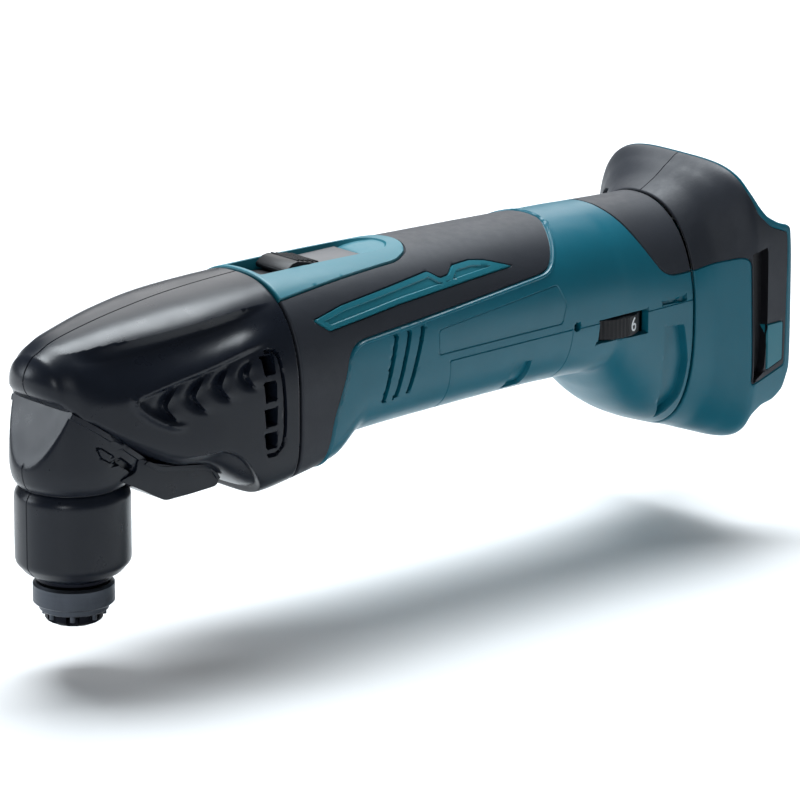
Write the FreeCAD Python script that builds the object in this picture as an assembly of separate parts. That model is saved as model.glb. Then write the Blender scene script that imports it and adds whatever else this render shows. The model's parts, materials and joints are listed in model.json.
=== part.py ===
"""Cordless oscillating multi-tool, bare: no battery and no blade.

Millimetres. +X runs back to the battery end, +Y is the tool's right-hand side, +Z is up.
The origin is on the spindle's axis, at the face that an accessory seats on.
"""
import FreeCAD, Part
import math
import os

V = FreeCAD.Vector
os.makedirs("parts", exist_ok=True)

# ---- Driving dimensions ----
MOTOR_Z = 66.0            # height of the motor's axis
JOINT_X = 68.0            # plane where the hood meets the motor housing
JOINT_GAP = 0.6           # open line at that plane
RING_X = 243.0            # plane where the motor housing meets the rear cover
RIM_X = 263.0             # rearmost plane of the rear cover's crown
CHEEK_X = 277.6           # rearmost plane of the rear cover's side walls
WALL = 2.6                # plastic wall
ROOF = 5.2                # wall along the top of the motor housing, under switch and grip
SKIN = 1.6                # soft overmould
BEZEL_SKIN = 3.0          # switch surround
SHAFT_FIT = 0.05          # radial running clearance

# Section stations: x, half width, top z, widest z, bottom z, top exponent, bottom exponent
HOOD_STATIONS = [
    (-17.9, 6.0, 80.8, 77.0, 73.6, 2.0, 2.2),
    (-14.0, 12.4, 84.5, 73.5, 70.6, 2.3, 3.2),
    (-8.0, 17.4, 87.4, 70.0, 64.6, 2.4, 6.0),
    (4.0, 22.0, 90.4, 67.5, 55.6, 2.5, 7.0),
    (20.0, 26.0, 93.2, 66.5, 46.2, 2.6, 6.5),
    (38.0, 29.5, 95.4, 63.0, 39.0, 2.6, 5.5),
    (56.0, 30.6, 96.5, 60.0, 30.0, 2.5, 5.0),
    (JOINT_X, 30.6, 96.9, 60.0, 31.5, 2.4, 5.0),
]
BODY_STATIONS = [
    (JOINT_X, 30.6, 96.9, 60.0, 31.5, 2.4, 5.0),
    (86.0, 30.2, 96.8, 62.0, 34.5, 2.4, 4.5),
    (98.0, 29.8, 96.6, 64.0, 40.0, 2.4, 3.2),
    (150.0, 28.8, 95.4, 66.0, 40.0, 2.3, 2.8),
    (208.0, 28.2, 93.7, 65.0, 38.0, 2.2, 2.6),
    (214.0, 28.1, 93.5, 62.0, 31.0, 2.2, 2.6),
    (222.0, 28.0, 93.2, 60.0, 23.0, 2.2, 2.6),
    (230.0, 27.8, 92.9, 58.0, 18.0, 2.2, 2.6),
    (RING_X, 27.5, 92.5, 56.0, 13.0, 2.2, 2.6),
]
REAR_STATIONS = [
    (RING_X, 27.5, 92.5, 56.0, 13.0, 2.2, 2.6),
    (250.0, 29.5, 96.0, 57.0, 11.0, 2.6, 2.8),
    (256.0, 34.0, 100.0, 58.0, 9.0, 3.2, 3.2),
    (262.0, 38.4, 103.0, 60.0, 7.5, 3.8, 3.5),
]

# Spindle head
COLLAR_R = 18.3
COLLAR_LOW_Z = 11.0
COLLAR_TOP_Z = 38.5
NECK_TOP_Z = 72.0
FLANGE_R = 12.9
SEAT_R = 11.0
SEAT_H = 2.3
FLANGE_TOP_Z = 9.2
PIN_COUNT = 8
PIN_CIRCLE_R = 9.2
PIN_R = 0.9
PIN_DROP = 2.0
PIN_NOTCH_R = 2.1
DUST_COVER_R = 12.4
SPINDLE_R = 7.5
SPINDLE_UPPER_R = 6.0
SPINDLE_TOP_Z = 81.0
BOLT_R = 4.0
BOLT_TOP_Z = 19.0
WASHER_R = 9.4
WASHER_Z = (-2.4, -0.3)
BOLT_HEAD_R = 6.6
BOLT_LOW_Z = -4.2
SOCKET_R = 2.9
CLAMP_GAP = 0.15          # between the bolt's head and the washer that it turns in

# Motor
SHAFT_R = 2.5
CAN_R = 19.0
CAN_X = (84.0, 142.0)
CORE_R = 13.0
CORE_X = (92.0, 134.0)
COMMUTATOR_R = 5.5
COMMUTATOR_X = (146.0, 158.0)
FAN_R = 23.5
FAN_X = (60.0, 67.0)
GEAR_CONE = (8.0, 56.0, 18.2, 23.0)   # x from, x to, radius from, radius to
# Radius and height up the gear housing's column
COLUMN = [(15.6, 14.9), (15.6, 50.0), (11.2, 62.0), (9.9, 70.0), (9.9, 72.0), (10.8, 73.0), (10.8, 83.0)]
ECCENTRIC_X = (30.0, 37.0)
ECCENTRIC_OFFSET = 0.8
ECCENTRIC_R = 8.0
BEARING_R = 8.0
BEARING_W = 5.0

# Switch and dial
KNOB_X = (81.5, 96.0)
PLATE_X = (96.0, 114.0)
SLOT_X = (71.0, 119.0)
SLOT_HALF_Y = 8.5
KNOB_HALF_Y = 7.6
KNOB_TOP_Z = 97.9
PLATE_Z = (93.8, 95.2)
SWITCH_TRAVEL = 5.0
ROD_Z = (86.4, 88.4)
DIAL_CENTRE = (210.2, -14.8)
DIAL_R = 14.2
DIAL_Z = (53.8, 61.2)
BOARD_Z = 47.5
WINDOW_X = (199.0, 221.2)
WINDOW_Z = (53.2, 61.8)


# ---- Shape helpers ----
def box(x0, x1, y0, y1, z0, z1):
    """Box between two corners."""
    return Part.makeBox(x1 - x0, y1 - y0, z1 - z0, V(x0, y0, z0))


def cyl_x(r, x0, x1, y=0.0, z=MOTOR_Z):
    """Cylinder along +X."""
    return Part.makeCylinder(r, x1 - x0, V(x0, y, z), V(1, 0, 0))


def cyl_y(r, y0, y1, x, z):
    """Cylinder along +Y."""
    return Part.makeCylinder(r, y1 - y0, V(x, y0, z), V(0, 1, 0))


def cyl_z(r, z0, z1, x=0.0, y=0.0):
    """Cylinder along +Z."""
    return Part.makeCylinder(r, z1 - z0, V(x, y, z0), V(0, 0, 1))


def tube_x(r_out, r_in, x0, x1):
    """Tube about the motor's axis."""
    return cyl_x(r_out, x0, x1).cut(cyl_x(r_in, x0 - 1, x1 + 1))


def turned(profile):
    """Solid turned about the spindle's axis from (radius, z) points."""
    points = [V(r, 0, z) for r, z in profile]
    face = Part.Face(Part.makePolygon(points + points[:1]))
    return face.revolve(V(0, 0, 0), V(0, 0, 1), 360)


def side_prism(outline, y0=-60.0, y1=60.0):
    """Prism across the tool from (x, z) points."""
    points = [V(x, y0, z) for x, z in outline]
    face = Part.Face(Part.makePolygon(points + points[:1]))
    return face.extrude(V(0, y1 - y0, 0))


def top_prism(outline, z0=80.0, z1=110.0):
    """Upright prism from (x, y) points."""
    points = [V(x, y, z0) for x, y in outline]
    face = Part.Face(Part.makePolygon(points + points[:1]))
    return face.extrude(V(0, 0, z1 - z0))


def fused(shapes):
    """One solid from overlapping ones."""
    return shapes[0].fuse(shapes[1:]).removeSplitter()


def arc_points(station, side):
    """Points of one side of a superelliptic section, from its top to its bottom."""
    x, half_w, z_top, z_wide, z_low, n_top, n_low = station
    points = []
    for step in range(13):
        angle = math.radians(90 - 15 * step)
        n = n_top if step <= 6 else n_low
        rise = z_top - z_wide if step <= 6 else z_wide - z_low
        across = abs(math.cos(angle)) ** (2 / n) if step not in (0, 12) else 0.0
        up = math.copysign(abs(math.sin(angle)) ** (2 / n), math.sin(angle)) if step != 6 else 0.0
        points.append(V(x, side * half_w * across, z_wide + rise * up))
    return points


def spline(points):
    """Smooth edge through points."""
    curve = Part.BSplineCurve()
    curve.interpolate(points)
    return curve.toShape()


def half_loft(stations, side):
    """Solid of one side of a body, flat on the middle plane."""
    wires = []
    for station in stations:
        points = arc_points(station, side)
        wires.append(Part.Wire([spline(points), Part.makeLine(points[-1], points[0])]))
    return Part.makeLoft(wires, True, True)


def full_loft(stations):
    """Solid of a whole body."""
    wires = []
    for station in stations:
        right = arc_points(station, 1)
        left = arc_points(station, -1)
        wires.append(Part.Wire([spline(right), spline(left[::-1])]))
    return Part.makeLoft(wires, True, True)


def inset(stations, side, top=None):
    """The same stations, smaller by a wall."""
    top = side if top is None else top
    return [(x, w - side, zt - top, zc, zl + side, nt, nl) for x, w, zt, zc, zl, nt, nl in stations]


def moved_end(stations, x_first=None, x_last=None):
    """The same stations with the first or last plane somewhere else."""
    out = list(stations)
    if x_first is not None:
        out[0] = (x_first,) + out[0][1:]
    if x_last is not None:
        out[-1] = (x_last,) + out[-1][1:]
    return out


def half_space(side):
    """Everything on one side of the middle plane."""
    return box(-60, 340, 0, 80, -40, 140) if side > 0 else box(-60, 340, -80, 0, -40, 140)


def screw(x, z, y_head, y_tip, shank_r=1.5, head_r=3.0, head_h=2.2):
    """Cross-head screw along Y, with its head at the right-hand end."""
    shank = cyl_y(shank_r, y_tip, y_head - head_h, x, z)
    head = cyl_y(head_r, y_head - head_h, y_head, x, z)
    cross = box(x - 1.9, x + 1.9, y_head - 1.2, y_head + 1, z - 0.35, z + 0.35)
    cross = cross.fuse(box(x - 0.35, x + 0.35, y_head - 1.2, y_head + 1, z - 1.9, z + 1.9))
    return shank.fuse(head).removeSplitter().cut(cross)


def screw_room(x, z, y_head, y_tip, shank_r=1.5, head_r=3.0, head_h=2.2):
    """Space that a screw and its counterbore take out of a casing."""
    return cyl_y(shank_r, y_tip, y_head - head_h, x, z).fuse(cyl_y(head_r, y_head - head_h, 60, x, z))


def keep_largest(shape):
    """The largest solid of a shape, without trimmed slivers."""
    return max(shape.Solids, key=lambda solid: solid.Volume)


parts = {}
BOTH = (("left", -1), ("right", 1))

# ---- Hood: two dark halves over the gear housing ----
HOOD_SCREWS = [(50.0, 40.3, 24.0, -16.0), (36.0, 89.4, 11.5, -10.0)]
BOSS_R = 3.0
HOOD_VENTS_Z = (48.0, 55.0, 62.0, 69.5, 77.0)
VENT_X = (52.5, 58.8)
hood_end = JOINT_X - JOINT_GAP / 2
hood_stations = moved_end(HOOD_STATIONS, x_last=hood_end)
hood_full = full_loft(hood_stations)
hood_room = full_loft(moved_end(inset(HOOD_STATIONS[1:], WALL), x_last=JOINT_X + 1))


def gear_blank(gap):
    """Outside of the gear housing, larger by a gap: a column round the spindle and a cone to the motor."""
    x0, x1, r0, r1 = GEAR_CONE
    (low_r, low_z), (high_r, high_z) = COLUMN[0], COLUMN[-1]
    profile = [(0, low_z - gap), (low_r + gap, low_z - gap)]
    profile += [(r + gap, z) for r, z in COLUMN[1:-1]]
    profile += [(high_r + gap, high_z + gap), (0, high_z + gap)]
    column = turned(profile)
    cone = Part.makeCone(r0 + gap, r1 + gap, x1 - x0, V(x0, 0, MOTOR_Z), V(1, 0, 0))
    return fused([column, cone])


gear_room = gear_blank(0.15)


def vents(side):
    """Air outlets: one window in four, between bars."""
    cut = []
    for low, high in zip(HOOD_VENTS_Z, HOOD_VENTS_Z[1:]):
        y0, y1 = (20, 40) if side > 0 else (-40, -20)
        cut.append(box(VENT_X[0], VENT_X[1], y0, y1, low + 0.7, high - 0.7))
    return cut


def hood_half(side):
    outer = half_loft(hood_stations, side)
    shell = outer.cut(hood_room)
    for x, z, y_head, y_tip in HOOD_SCREWS:
        shell = shell.fuse(cyl_y(BOSS_R, -40, 40, x, z).common(outer))
    shell = shell.cut([screw_room(*spot) for spot in HOOD_SCREWS] + vents(side) + [gear_room])
    return keep_largest(shell.removeSplitter())


for name, side in BOTH:
    parts["hood_" + name] = hood_half(side)
parts["hood_screws"] = Part.makeCompound([screw(*spot) for spot in HOOD_SCREWS])

# ---- Neck: two dark halves round the spindle, with the collar and the rearward arm ----
NECK_SCREWS = [(31.0, 38.6, 15.0, -11.0)]
ARM_HALF_Y = 19.0
NECK_RINGS = [  # z, front x, rear x, half width
    (41.0, -18.6, 18.6, 18.6),
    (48.0, -20.0, 24.0, 18.7),
    (56.0, -19.5, 30.0, 18.8),
    (64.0, -18.5, 30.0, 18.6),
    (NECK_TOP_Z, -17.5, 30.0, 17.2),
]
NECK_FACET = [(-19.4, 50.0), (-8.1, 76.0), (-40.0, 76.0), (-40.0, 50.0)]   # cut off flat in front


def neck_ring(z, x_front, x_rear, half_w):
    """Closed oval at one height: half circle in front, longer half oval behind."""
    points = []
    for step in range(24):
        angle = math.radians(15 * step)
        reach = x_rear if math.cos(angle) > 0 else -x_front
        points.append(V(reach * math.cos(angle), half_w * math.sin(angle), z))
    curve = Part.BSplineCurve()
    curve.interpolate(points, PeriodicFlag=True)
    return Part.Wire([curve.toShape()])


def neck_solid():
    collar = turned([(0, COLLAR_LOW_Z), (12.2, COLLAR_LOW_Z), (COLLAR_R - 0.4, 14.8), (COLLAR_R, 15.8),
                     (COLLAR_R, COLLAR_TOP_Z - 0.8), (COLLAR_R - 0.8, COLLAR_TOP_Z),
                     (17.4, COLLAR_TOP_Z + 0.4), (17.4, 41.2), (0, 41.2)])
    upper = Part.makeLoft([neck_ring(*ring) for ring in NECK_RINGS], True, True)
    arm = side_prism([(8, 42), (25.5, 33.2), (44, 33.6), (47.5, 36.0), (47.5, 44), (30, 52), (8, 60)],
                     -ARM_HALF_Y, ARM_HALF_Y)
    outside = fused([collar, upper, arm]).cut([hood_full, side_prism(NECK_FACET)])
    return keep_largest(outside.cut([gear_room, cyl_z(DUST_COVER_R + 0.1, 0, COLUMN[0][1])]))


neck = neck_solid()
for name, side in BOTH:
    half = neck.common(half_space(side)).cut([screw_room(*spot) for spot in NECK_SCREWS])
    parts["neck_" + name] = keep_largest(half)
parts["neck_screws"] = Part.makeCompound([screw(*spot) for spot in NECK_SCREWS])

# ---- Gear housing: cast aluminium, carries the spindle and the front motor bearing ----
LOWER_BEARING_Z = (17.0, 25.0)
UPPER_BEARING_Z = (73.0, 79.0)
LOWER_BEARING_R = 13.0
UPPER_BEARING_R = 9.0
FORK_ROOM_HALF_Y = 15.2   # the prongs swing inside this
PRONG_W = 3.4


def gear_housing():
    return gear_blank(0).cut([
        cyl_z(LOWER_BEARING_R, 14, LOWER_BEARING_Z[1]),
        turned([(0, 20), (11.4, 20), (11.4, 50.0), (9.2, 57.5), (9.2, 69.0), (8.2, 70.0), (8.2, 73.5),
                (0, 73.5)]),
        cyl_z(UPPER_BEARING_R, UPPER_BEARING_Z[0], UPPER_BEARING_Z[1]),
        cyl_z(6.5, 78, 90),
        box(0, 43, -FORK_ROOM_HALF_Y, FORK_ROOM_HALF_Y, MOTOR_Z - 4.5, MOTOR_Z + 4.5),
        cyl_x(10.2, 26, 43),
        cyl_x(6.0, 42, 46),
        cyl_x(BEARING_R, 45.5, 50.5),
        cyl_x(5.0, 50, 60),
    ])


parts["gear_housing"] = keep_largest(gear_housing())

# ---- Spindle group ----
def spindle():
    blank = turned([(0, 0.2), (SPINDLE_R, 0.2), (SPINDLE_R, 26.0), (SPINDLE_UPPER_R, 26.5),
                    (SPINDLE_UPPER_R, SPINDLE_TOP_Z), (0, SPINDLE_TOP_Z)])
    thread_room = cyl_z(BOLT_R + SHAFT_FIT, -1, BOLT_TOP_Z + 3)
    return blank.cut(thread_room)


def tool_flange():
    body = turned([(SPINDLE_R, 0), (SEAT_R - 0.3, 0), (SEAT_R, 0.3), (SEAT_R, SEAT_H),
                   (FLANGE_R - 0.4, SEAT_H), (FLANGE_R, SEAT_H + 0.4), (FLANGE_R, FLANGE_TOP_Z - 0.8),
                   (FLANGE_R - 0.8, FLANGE_TOP_Z), (SPINDLE_R, FLANGE_TOP_Z)])
    pins = [pin_at(i, PIN_R, -PIN_DROP, 1.0) for i in range(PIN_COUNT)]
    return fused([body] + pins)


def pin_at(index, r, z0, z1):
    """Upright cylinder at one of the drive pins' places."""
    angle = 2 * math.pi * index / PIN_COUNT + PIN_PHASE
    return cyl_z(r, z0, z1, PIN_CIRCLE_R * math.cos(angle), PIN_CIRCLE_R * math.sin(angle))


PIN_PHASE = math.radians(228.4)
parts["spindle"] = spindle()
parts["tool_flange"] = tool_flange()


def bearing(r_in, r_out, width):
    """Ball bearing about Z, from z=0: two rings and shields as one solid of revolution."""
    third = (r_out - r_in) / 3
    return turned([(r_in, 0), (r_in + third, 0), (r_in + third, 0.5), (r_out - third, 0.5),
                   (r_out - third, 0), (r_out, 0), (r_out, width), (r_out - third, width),
                   (r_out - third, width - 0.5), (r_in + third, width - 0.5), (r_in + third, width),
                   (r_in, width)])


def bearing_on_spindle(spindle_r, r_out, z_span):
    shape = bearing(spindle_r + SHAFT_FIT, r_out, z_span[1] - z_span[0])
    shape.translate(V(0, 0, z_span[0]))
    return shape


def bearing_on_motor(r_in, r_out, x0, width, offset_z=0.0):
    shape = bearing(r_in, r_out, width)
    shape.rotate(V(0, 0, 0), V(0, 1, 0), 90)
    shape.translate(V(x0, 0, MOTOR_Z + offset_z))
    return shape


parts["spindle_bearing_lower"] = bearing_on_spindle(SPINDLE_R, LOWER_BEARING_R, LOWER_BEARING_Z)
parts["spindle_bearing_upper"] = bearing_on_spindle(SPINDLE_UPPER_R, UPPER_BEARING_R, UPPER_BEARING_Z)
parts["dust_cover"] = turned([(SPINDLE_R + 0.4, 9.6), (11.5, 9.6), (11.9, 10.2), (11.9, 13.0),
                              (DUST_COVER_R, 13.0), (DUST_COVER_R, 14.6), (SPINDLE_R + 0.4, 14.6)])


def rocker_fork():
    """Lever clamped on the spindle whose two prongs straddle the eccentric bearing."""
    gap = ECCENTRIC_R + ECCENTRIC_OFFSET + 1.2
    hub = cyl_z(8.6, 58.0, 68.5)
    z0, z1 = 62.5, 68.5
    reach = gap + PRONG_W
    prongs = [box(4, 38, *sorted((side * gap, side * reach)), z0, z1) for side in (-1, 1)]
    bridge = box(4, 12, -reach, reach, z0, z1)
    return fused([hub, bridge] + prongs).cut(cyl_z(SPINDLE_UPPER_R, 50, 80))


parts["rocker_fork"] = rocker_fork()


# ---- Accessory clamp ----
def clamp_washer():
    recess_r = BOLT_HEAD_R + CLAMP_GAP
    recess_z = WASHER_Z[0] + CLAMP_GAP
    body = turned([(BOLT_R + 0.2, WASHER_Z[1]), (WASHER_R, WASHER_Z[1]), (WASHER_R, WASHER_Z[0]),
                   (WASHER_R - 0.5, -3.2), (WASHER_R - 1.6, -3.9), (recess_r, BOLT_LOW_Z),
                   (recess_r, recess_z), (BOLT_R + 0.2, recess_z)])
    notches = [pin_at(i, PIN_NOTCH_R, -6, 1) for i in range(PIN_COUNT)]
    return body.cut(notches)


def clamp_bolt():
    body = turned([(0, BOLT_LOW_Z), (BOLT_HEAD_R - 0.8, BOLT_LOW_Z), (BOLT_HEAD_R, BOLT_LOW_Z + 0.6),
                   (BOLT_HEAD_R, WASHER_Z[0]), (BOLT_R, WASHER_Z[0]), (BOLT_R, BOLT_TOP_Z), (0, BOLT_TOP_Z)])
    corner_angles = [math.radians(60 * i) for i in range(6)]
    socket = [V(SOCKET_R * math.cos(angle), SOCKET_R * math.sin(angle), -6) for angle in corner_angles]
    hexagon = Part.Face(Part.makePolygon(socket + socket[:1])).extrude(V(0, 0, 6.5))
    return body.cut(hexagon)


parts["clamp_washer"] = clamp_washer()
parts["clamp_bolt"] = clamp_bolt()

# ---- Motor housing with its overmoulds and covers ----
GRIP_OUTLINE = [(60, 20), (78, 20), (80, 37), (82, 50.8), (87.2, 63.6), (89.5, 71.9), (93.4, 75.0),
                (121.4, 77.1), (176.8, 81.5), (180.4, 83.2), (187.9, 91.8), (192.6, 94.4), (192.6, 110),
                (60, 110)]
INLAY_OUTLINE = [(77.4, 84.0), (90.5, 86.4), (129.6, 89.6), (133.4, 87.1), (137.4, 87.4), (140.9, 89.5),
                 (148.5, 89.7), (154.5, 88.8), (165.0, 85.5), (145.2, 84.6), (113.5, 82.8), (82.9, 79.9)]
PAD_OUTLINE = [(217.8, 93.2), (219.0, 91.0), (222.2, 83.6), (226.5, 76.5), (229.4, 72.6), (232.6, 70.8),
               (236.5, 70.3), (250, 70.3), (250, 110), (217.8, 110)]
LABEL_OUTLINE = [(127.7, 72.1), (127.5, 63.9), (182.1, 63.9), (184.0, 70.0), (180.9, 77.0)]
BRUSH_OUTLINE = [(132.4, 61.0), (187.0, 61.0), (186.0, 42.0), (133.7, 42.0)]
BEZEL_OUTLINE = [(60, -20.2), (69, -19.7), (121.8, -14.9), (128.5, -11.5), (132, -6), (133, 0),
                 (132, 6), (128.5, 11.5), (121.8, 14.9), (69, 19.7), (60, 20.2)]
VENT_SLOTS = [((108.6, 74.0), (102.8, 52.5)), ((114.4, 74.4), (108.1, 53.0)), ((120.2, 74.8), (113.4, 53.5))]
SLOT_W = 1.9
PRY_NOTCH = [(161.6, 54.7), (169.7, 53.6), (169.7, 44.0), (161.6, 44.0)]
TALL_RECESS = [(227.4, 54.3), (238.5, 54.3), (238.8, 24.0), (231.5, 24.0)]
COVER_DEPTH = 1.6
LABEL_DEPTH = 0.8

body_start = JOINT_X + JOINT_GAP / 2
body_stations = moved_end(BODY_STATIONS, x_first=body_start)
body_outer = full_loft(body_stations)
grip_prism = side_prism(GRIP_OUTLINE)
bezel_prism = top_prism(BEZEL_OUTLINE)


def long_inset(depth):
    """The motor housing's outside, smaller by a depth and longer at both ends."""
    return full_loft(moved_end(inset(BODY_STATIONS, depth), x_first=JOINT_X - 2, x_last=RING_X + 2))


skin_core = long_inset(SKIN)
skin = body_outer.cut(skin_core)
bezel = body_outer.cut(long_inset(BEZEL_SKIN)).common(bezel_prism)
bezel = bezel.cut(box(SLOT_X[0], SLOT_X[1], -SLOT_HALF_Y, SLOT_HALF_Y, 80, 110))
parts["switch_bezel"] = keep_largest(bezel)
inlay_prism = side_prism(INLAY_OUTLINE)
parts["grip_cover"] = keep_largest(skin.common(grip_prism).cut([bezel_prism, inlay_prism]))
parts["rear_pad"] = keep_largest(skin.common(side_prism(PAD_OUTLINE)))
label_skin = body_outer.cut(long_inset(LABEL_DEPTH)).common(side_prism(LABEL_OUTLINE))
cover_skin = skin.common(side_prism(BRUSH_OUTLINE)).cut(box(120, 200, -12, 12, 30, 60))
for name, side in BOTH:
    inlay = skin.common(inlay_prism).cut(bezel_prism).common(half_space(side))
    parts["inlay_" + name] = keep_largest(inlay)
    parts["label_plate_" + name] = keep_largest(label_skin.common(half_space(side)))
    cover = cover_skin.common(half_space(side)).cut(side_prism(PRY_NOTCH))
    parts["brush_cover_" + name] = keep_largest(cover)


def slanted_slot(top, low):
    """Prism of one slanted vent slot."""
    return side_prism([low, (low[0] + SLOT_W, low[1]), (top[0] + SLOT_W, top[1]), top])


def motor_housing():
    narrow = inset(BODY_STATIONS[:1], WALL + 2.0, ROOF + 0.5)
    room_stations = moved_end(narrow, x_first=JOINT_X - 8) + moved_end(narrow, x_first=JOINT_X + 6)
    room_stations += moved_end(inset(BODY_STATIONS, WALL, ROOF), x_first=JOINT_X + 8, x_last=RING_X + 2)
    ring = inset(BODY_STATIONS[:1], WALL + 0.3)
    spigot = full_loft(moved_end(ring, x_first=JOINT_X - 5) + moved_end(ring, x_first=JOINT_X + 1))
    shell = body_outer.fuse(spigot).cut(full_loft(room_stations))
    taken = [parts["switch_bezel"], parts["grip_cover"], parts["rear_pad"]]
    for name, _ in BOTH:
        taken += [parts[kind + name] for kind in ("inlay_", "label_plate_", "brush_cover_")]
    shell = shell.cut(taken)
    cuts = [slanted_slot(*ends) for ends in VENT_SLOTS]
    cuts.append(box(SLOT_X[0], SLOT_X[1], -SLOT_HALF_Y, SLOT_HALF_Y, 93.4, 110))
    cuts.append(box(KNOB_X[0] - 1.0, KNOB_X[0] + 15.5, -4, 4, 85, 110))
    cuts.append(box(WINDOW_X[0], WINDOW_X[1], -40, -15, WINDOW_Z[0], WINDOW_Z[1]))
    cuts.append(cyl_y(1.5, -40, -20, 188.9, 61.5))
    recess = body_outer.cut(long_inset(1.8)).common(side_prism(TALL_RECESS))
    return keep_largest(shell.cut(cuts + [recess]))


parts["motor_housing"] = motor_housing()

# ---- Rear cover: two halves that flare out to the battery interface ----
CHEEK_IN_Y = 33.0
REAR_SCREWS = [(251.0, 84.5, 17.0, -12.0), (251.0, 21.0, 17.0, -12.0)]
REAR_PROFILE = [(RING_X + 0.3, -20), (RIM_X, -20), (RIM_X, 18.0), (266.5, 21.2), (271.5, 22.2), (275.4, 25.6),
                (CHEEK_X, 33.0), (CHEEK_X, 82.0), (272.0, 84.0), (267.5, 86.8), (264.8, 90.6), (RIM_X, 96.0),
                (RIM_X, 120), (RING_X + 0.3, 120)]
REAR_SKIN_OUTLINE = [(230, 70.2), (244, 70.3), (260.0, 74.6), (262.6, 72.0), (264.0, 31.0), (274.8, 34.5),
                     (275.2, 79.8), (268.0, 82.6), (263.0, 88.0), (260.6, 96.0), (260.6, 120), (230, 120)]
LATCH_OUTLINE = [(266.0, 50.0), (266.4, 34.0), (273.5, 36.5), (273.5, 50.0)]
long_rear = REAR_STATIONS + [(CHEEK_X + 1.0,) + REAR_STATIONS[-1][1:]]
REAR_WALL_X = 256.0
BACK_PLATE_X = 259.6
SLOT_LOW_Z = 11.5
SLOT_TOP_Z = 99.0


def rear_outer(side, depth=0.0):
    """Solid outside of one rear half, smaller by a depth."""
    stations = moved_end(inset(long_rear, depth), x_first=RING_X + 0.3 - (2 if depth else 0))
    return half_loft(stations, side)


def rear_half(side):
    outer = rear_outer(side).common(side_prism(REAR_PROFILE))
    room = full_loft(moved_end(inset(REAR_STATIONS[:3], WALL + 0.4), x_first=RING_X - 2, x_last=REAR_WALL_X))
    slot = box(BACK_PLATE_X, CHEEK_X + 5, -CHEEK_IN_Y, CHEEK_IN_Y, SLOT_LOW_Z, SLOT_TOP_Z)
    slot = slot.fuse(box(RIM_X, CHEEK_X + 5, -CHEEK_IN_Y, CHEEK_IN_Y, -20, 120))
    shell = outer.cut([room, slot])
    skin_part = outer.cut(rear_outer(side, SKIN)).common(side_prism(REAR_SKIN_OUTLINE))
    latch = outer.cut(rear_outer(side, 1.0)).common(side_prism(LATCH_OUTLINE))
    skin_part = keep_largest(skin_part.cut(latch))
    for x, z, y_head, y_tip in REAR_SCREWS:
        shell = shell.fuse(cyl_y(3.8, -40, 40, x, z).common(outer))
    shell = shell.cut([skin_part, latch, box(250, 262, -21, 21, 38, 76)])
    shell = shell.cut([screw_room(*spot) for spot in REAR_SCREWS])
    skin_part = skin_part.cut([screw_room(*spot) for spot in REAR_SCREWS])
    return keep_largest(shell.removeSplitter()), keep_largest(skin_part), keep_largest(latch)


rails = []
for name, side in BOTH:
    shell, skin_part, latch = rear_half(side)
    parts["rear_cover_" + name] = shell
    parts["rear_skin_" + name] = skin_part
    parts["latch_plate_" + name] = latch
    y0, y1 = sorted((side * (CHEEK_IN_Y - 3.0), side * CHEEK_IN_Y))
    rails.append(box(269.0, 273.0, y0, y1, 26.0, 81.0))
parts["battery_rails"] = Part.makeCompound(rails)
parts["rear_screws"] = Part.makeCompound([screw(*spot) for spot in REAR_SCREWS])

# ---- Battery terminals ----
TERMINAL_Y = (-15.0, -6.0, 6.0, 15.0)


def terminal_block():
    block = box(254.0, 261.5, -20.6, 20.6, 38.4, 75.6)
    ribs = [box(261.4, 266.0, y - 3.4, y + 3.4, 42, 72) for y in TERMINAL_Y]
    slots = [box(253, 267, y - 0.6, y + 0.6, 44, 70) for y in TERMINAL_Y]
    return fused([block] + ribs).cut(slots)


parts["terminal_block"] = terminal_block()
parts["terminals"] = Part.makeCompound([box(249.0, 265.0, y - 0.5, y + 0.5, 46, 68) for y in TERMINAL_Y])

# ---- Motor ----
def motor_can():
    shell = tube_x(CAN_R, CAN_R - 1.6, *CAN_X)
    front = tube_x(CAN_R, 6.0, CAN_X[0], CAN_X[0] + 1.6)
    return fused([shell, front])


def magnets():
    ring = tube_x(CAN_R - 1.6, CORE_R + 0.6, CORE_X[0], CORE_X[1])
    split = box(80, 150, -3, 3, 40, 90)
    return Part.makeCompound(ring.cut(split).Solids)


def end_frame():
    plate = tube_x(CAN_R, 9.0, CAN_X[1], CAN_X[1] + 2.5)
    cage = tube_x(CAN_R, CAN_R - 1.8, CAN_X[1] + 2.4, 164.0)
    cap = tube_x(CAN_R, BEARING_R, 164.0, 169.5)
    windows = box(146, 162, -30, 30, 60.0, 72.0)
    return fused([plate, cage, cap]).cut(windows)


parts["motor_can"] = motor_can()
parts["magnets"] = magnets()
parts["end_frame"] = end_frame()
parts["motor_bearing_front"] = bearing_on_motor(SHAFT_R + SHAFT_FIT, BEARING_R, 45.5, BEARING_W)
parts["motor_bearing_rear"] = bearing_on_motor(SHAFT_R + SHAFT_FIT, BEARING_R, 164.2, BEARING_W)


def rotor_shaft():
    main = cyl_x(SHAFT_R, 37.5, 170.0)
    crank = cyl_x(3.0, ECCENTRIC_X[0] - 0.5, 40.0, 0.0, MOTOR_Z + ECCENTRIC_OFFSET)
    web = cyl_x(4.4, 37.5, 40.5)
    return fused([main, crank, web])


def rotor_core():
    """Laminated core with twelve winding slots."""
    core = tube_x(CORE_R, SHAFT_R, *CORE_X)
    slots = []
    for i in range(12):
        slot = box(CORE_X[0] - 1, CORE_X[1] + 1, -1.1, 1.1, MOTOR_Z + 7.5, MOTOR_Z + CORE_R + 1)
        slot.rotate(V(0, 0, MOTOR_Z), V(1, 0, 0), 30 * i)
        slots.append(slot)
    return core.cut(slots)


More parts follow.
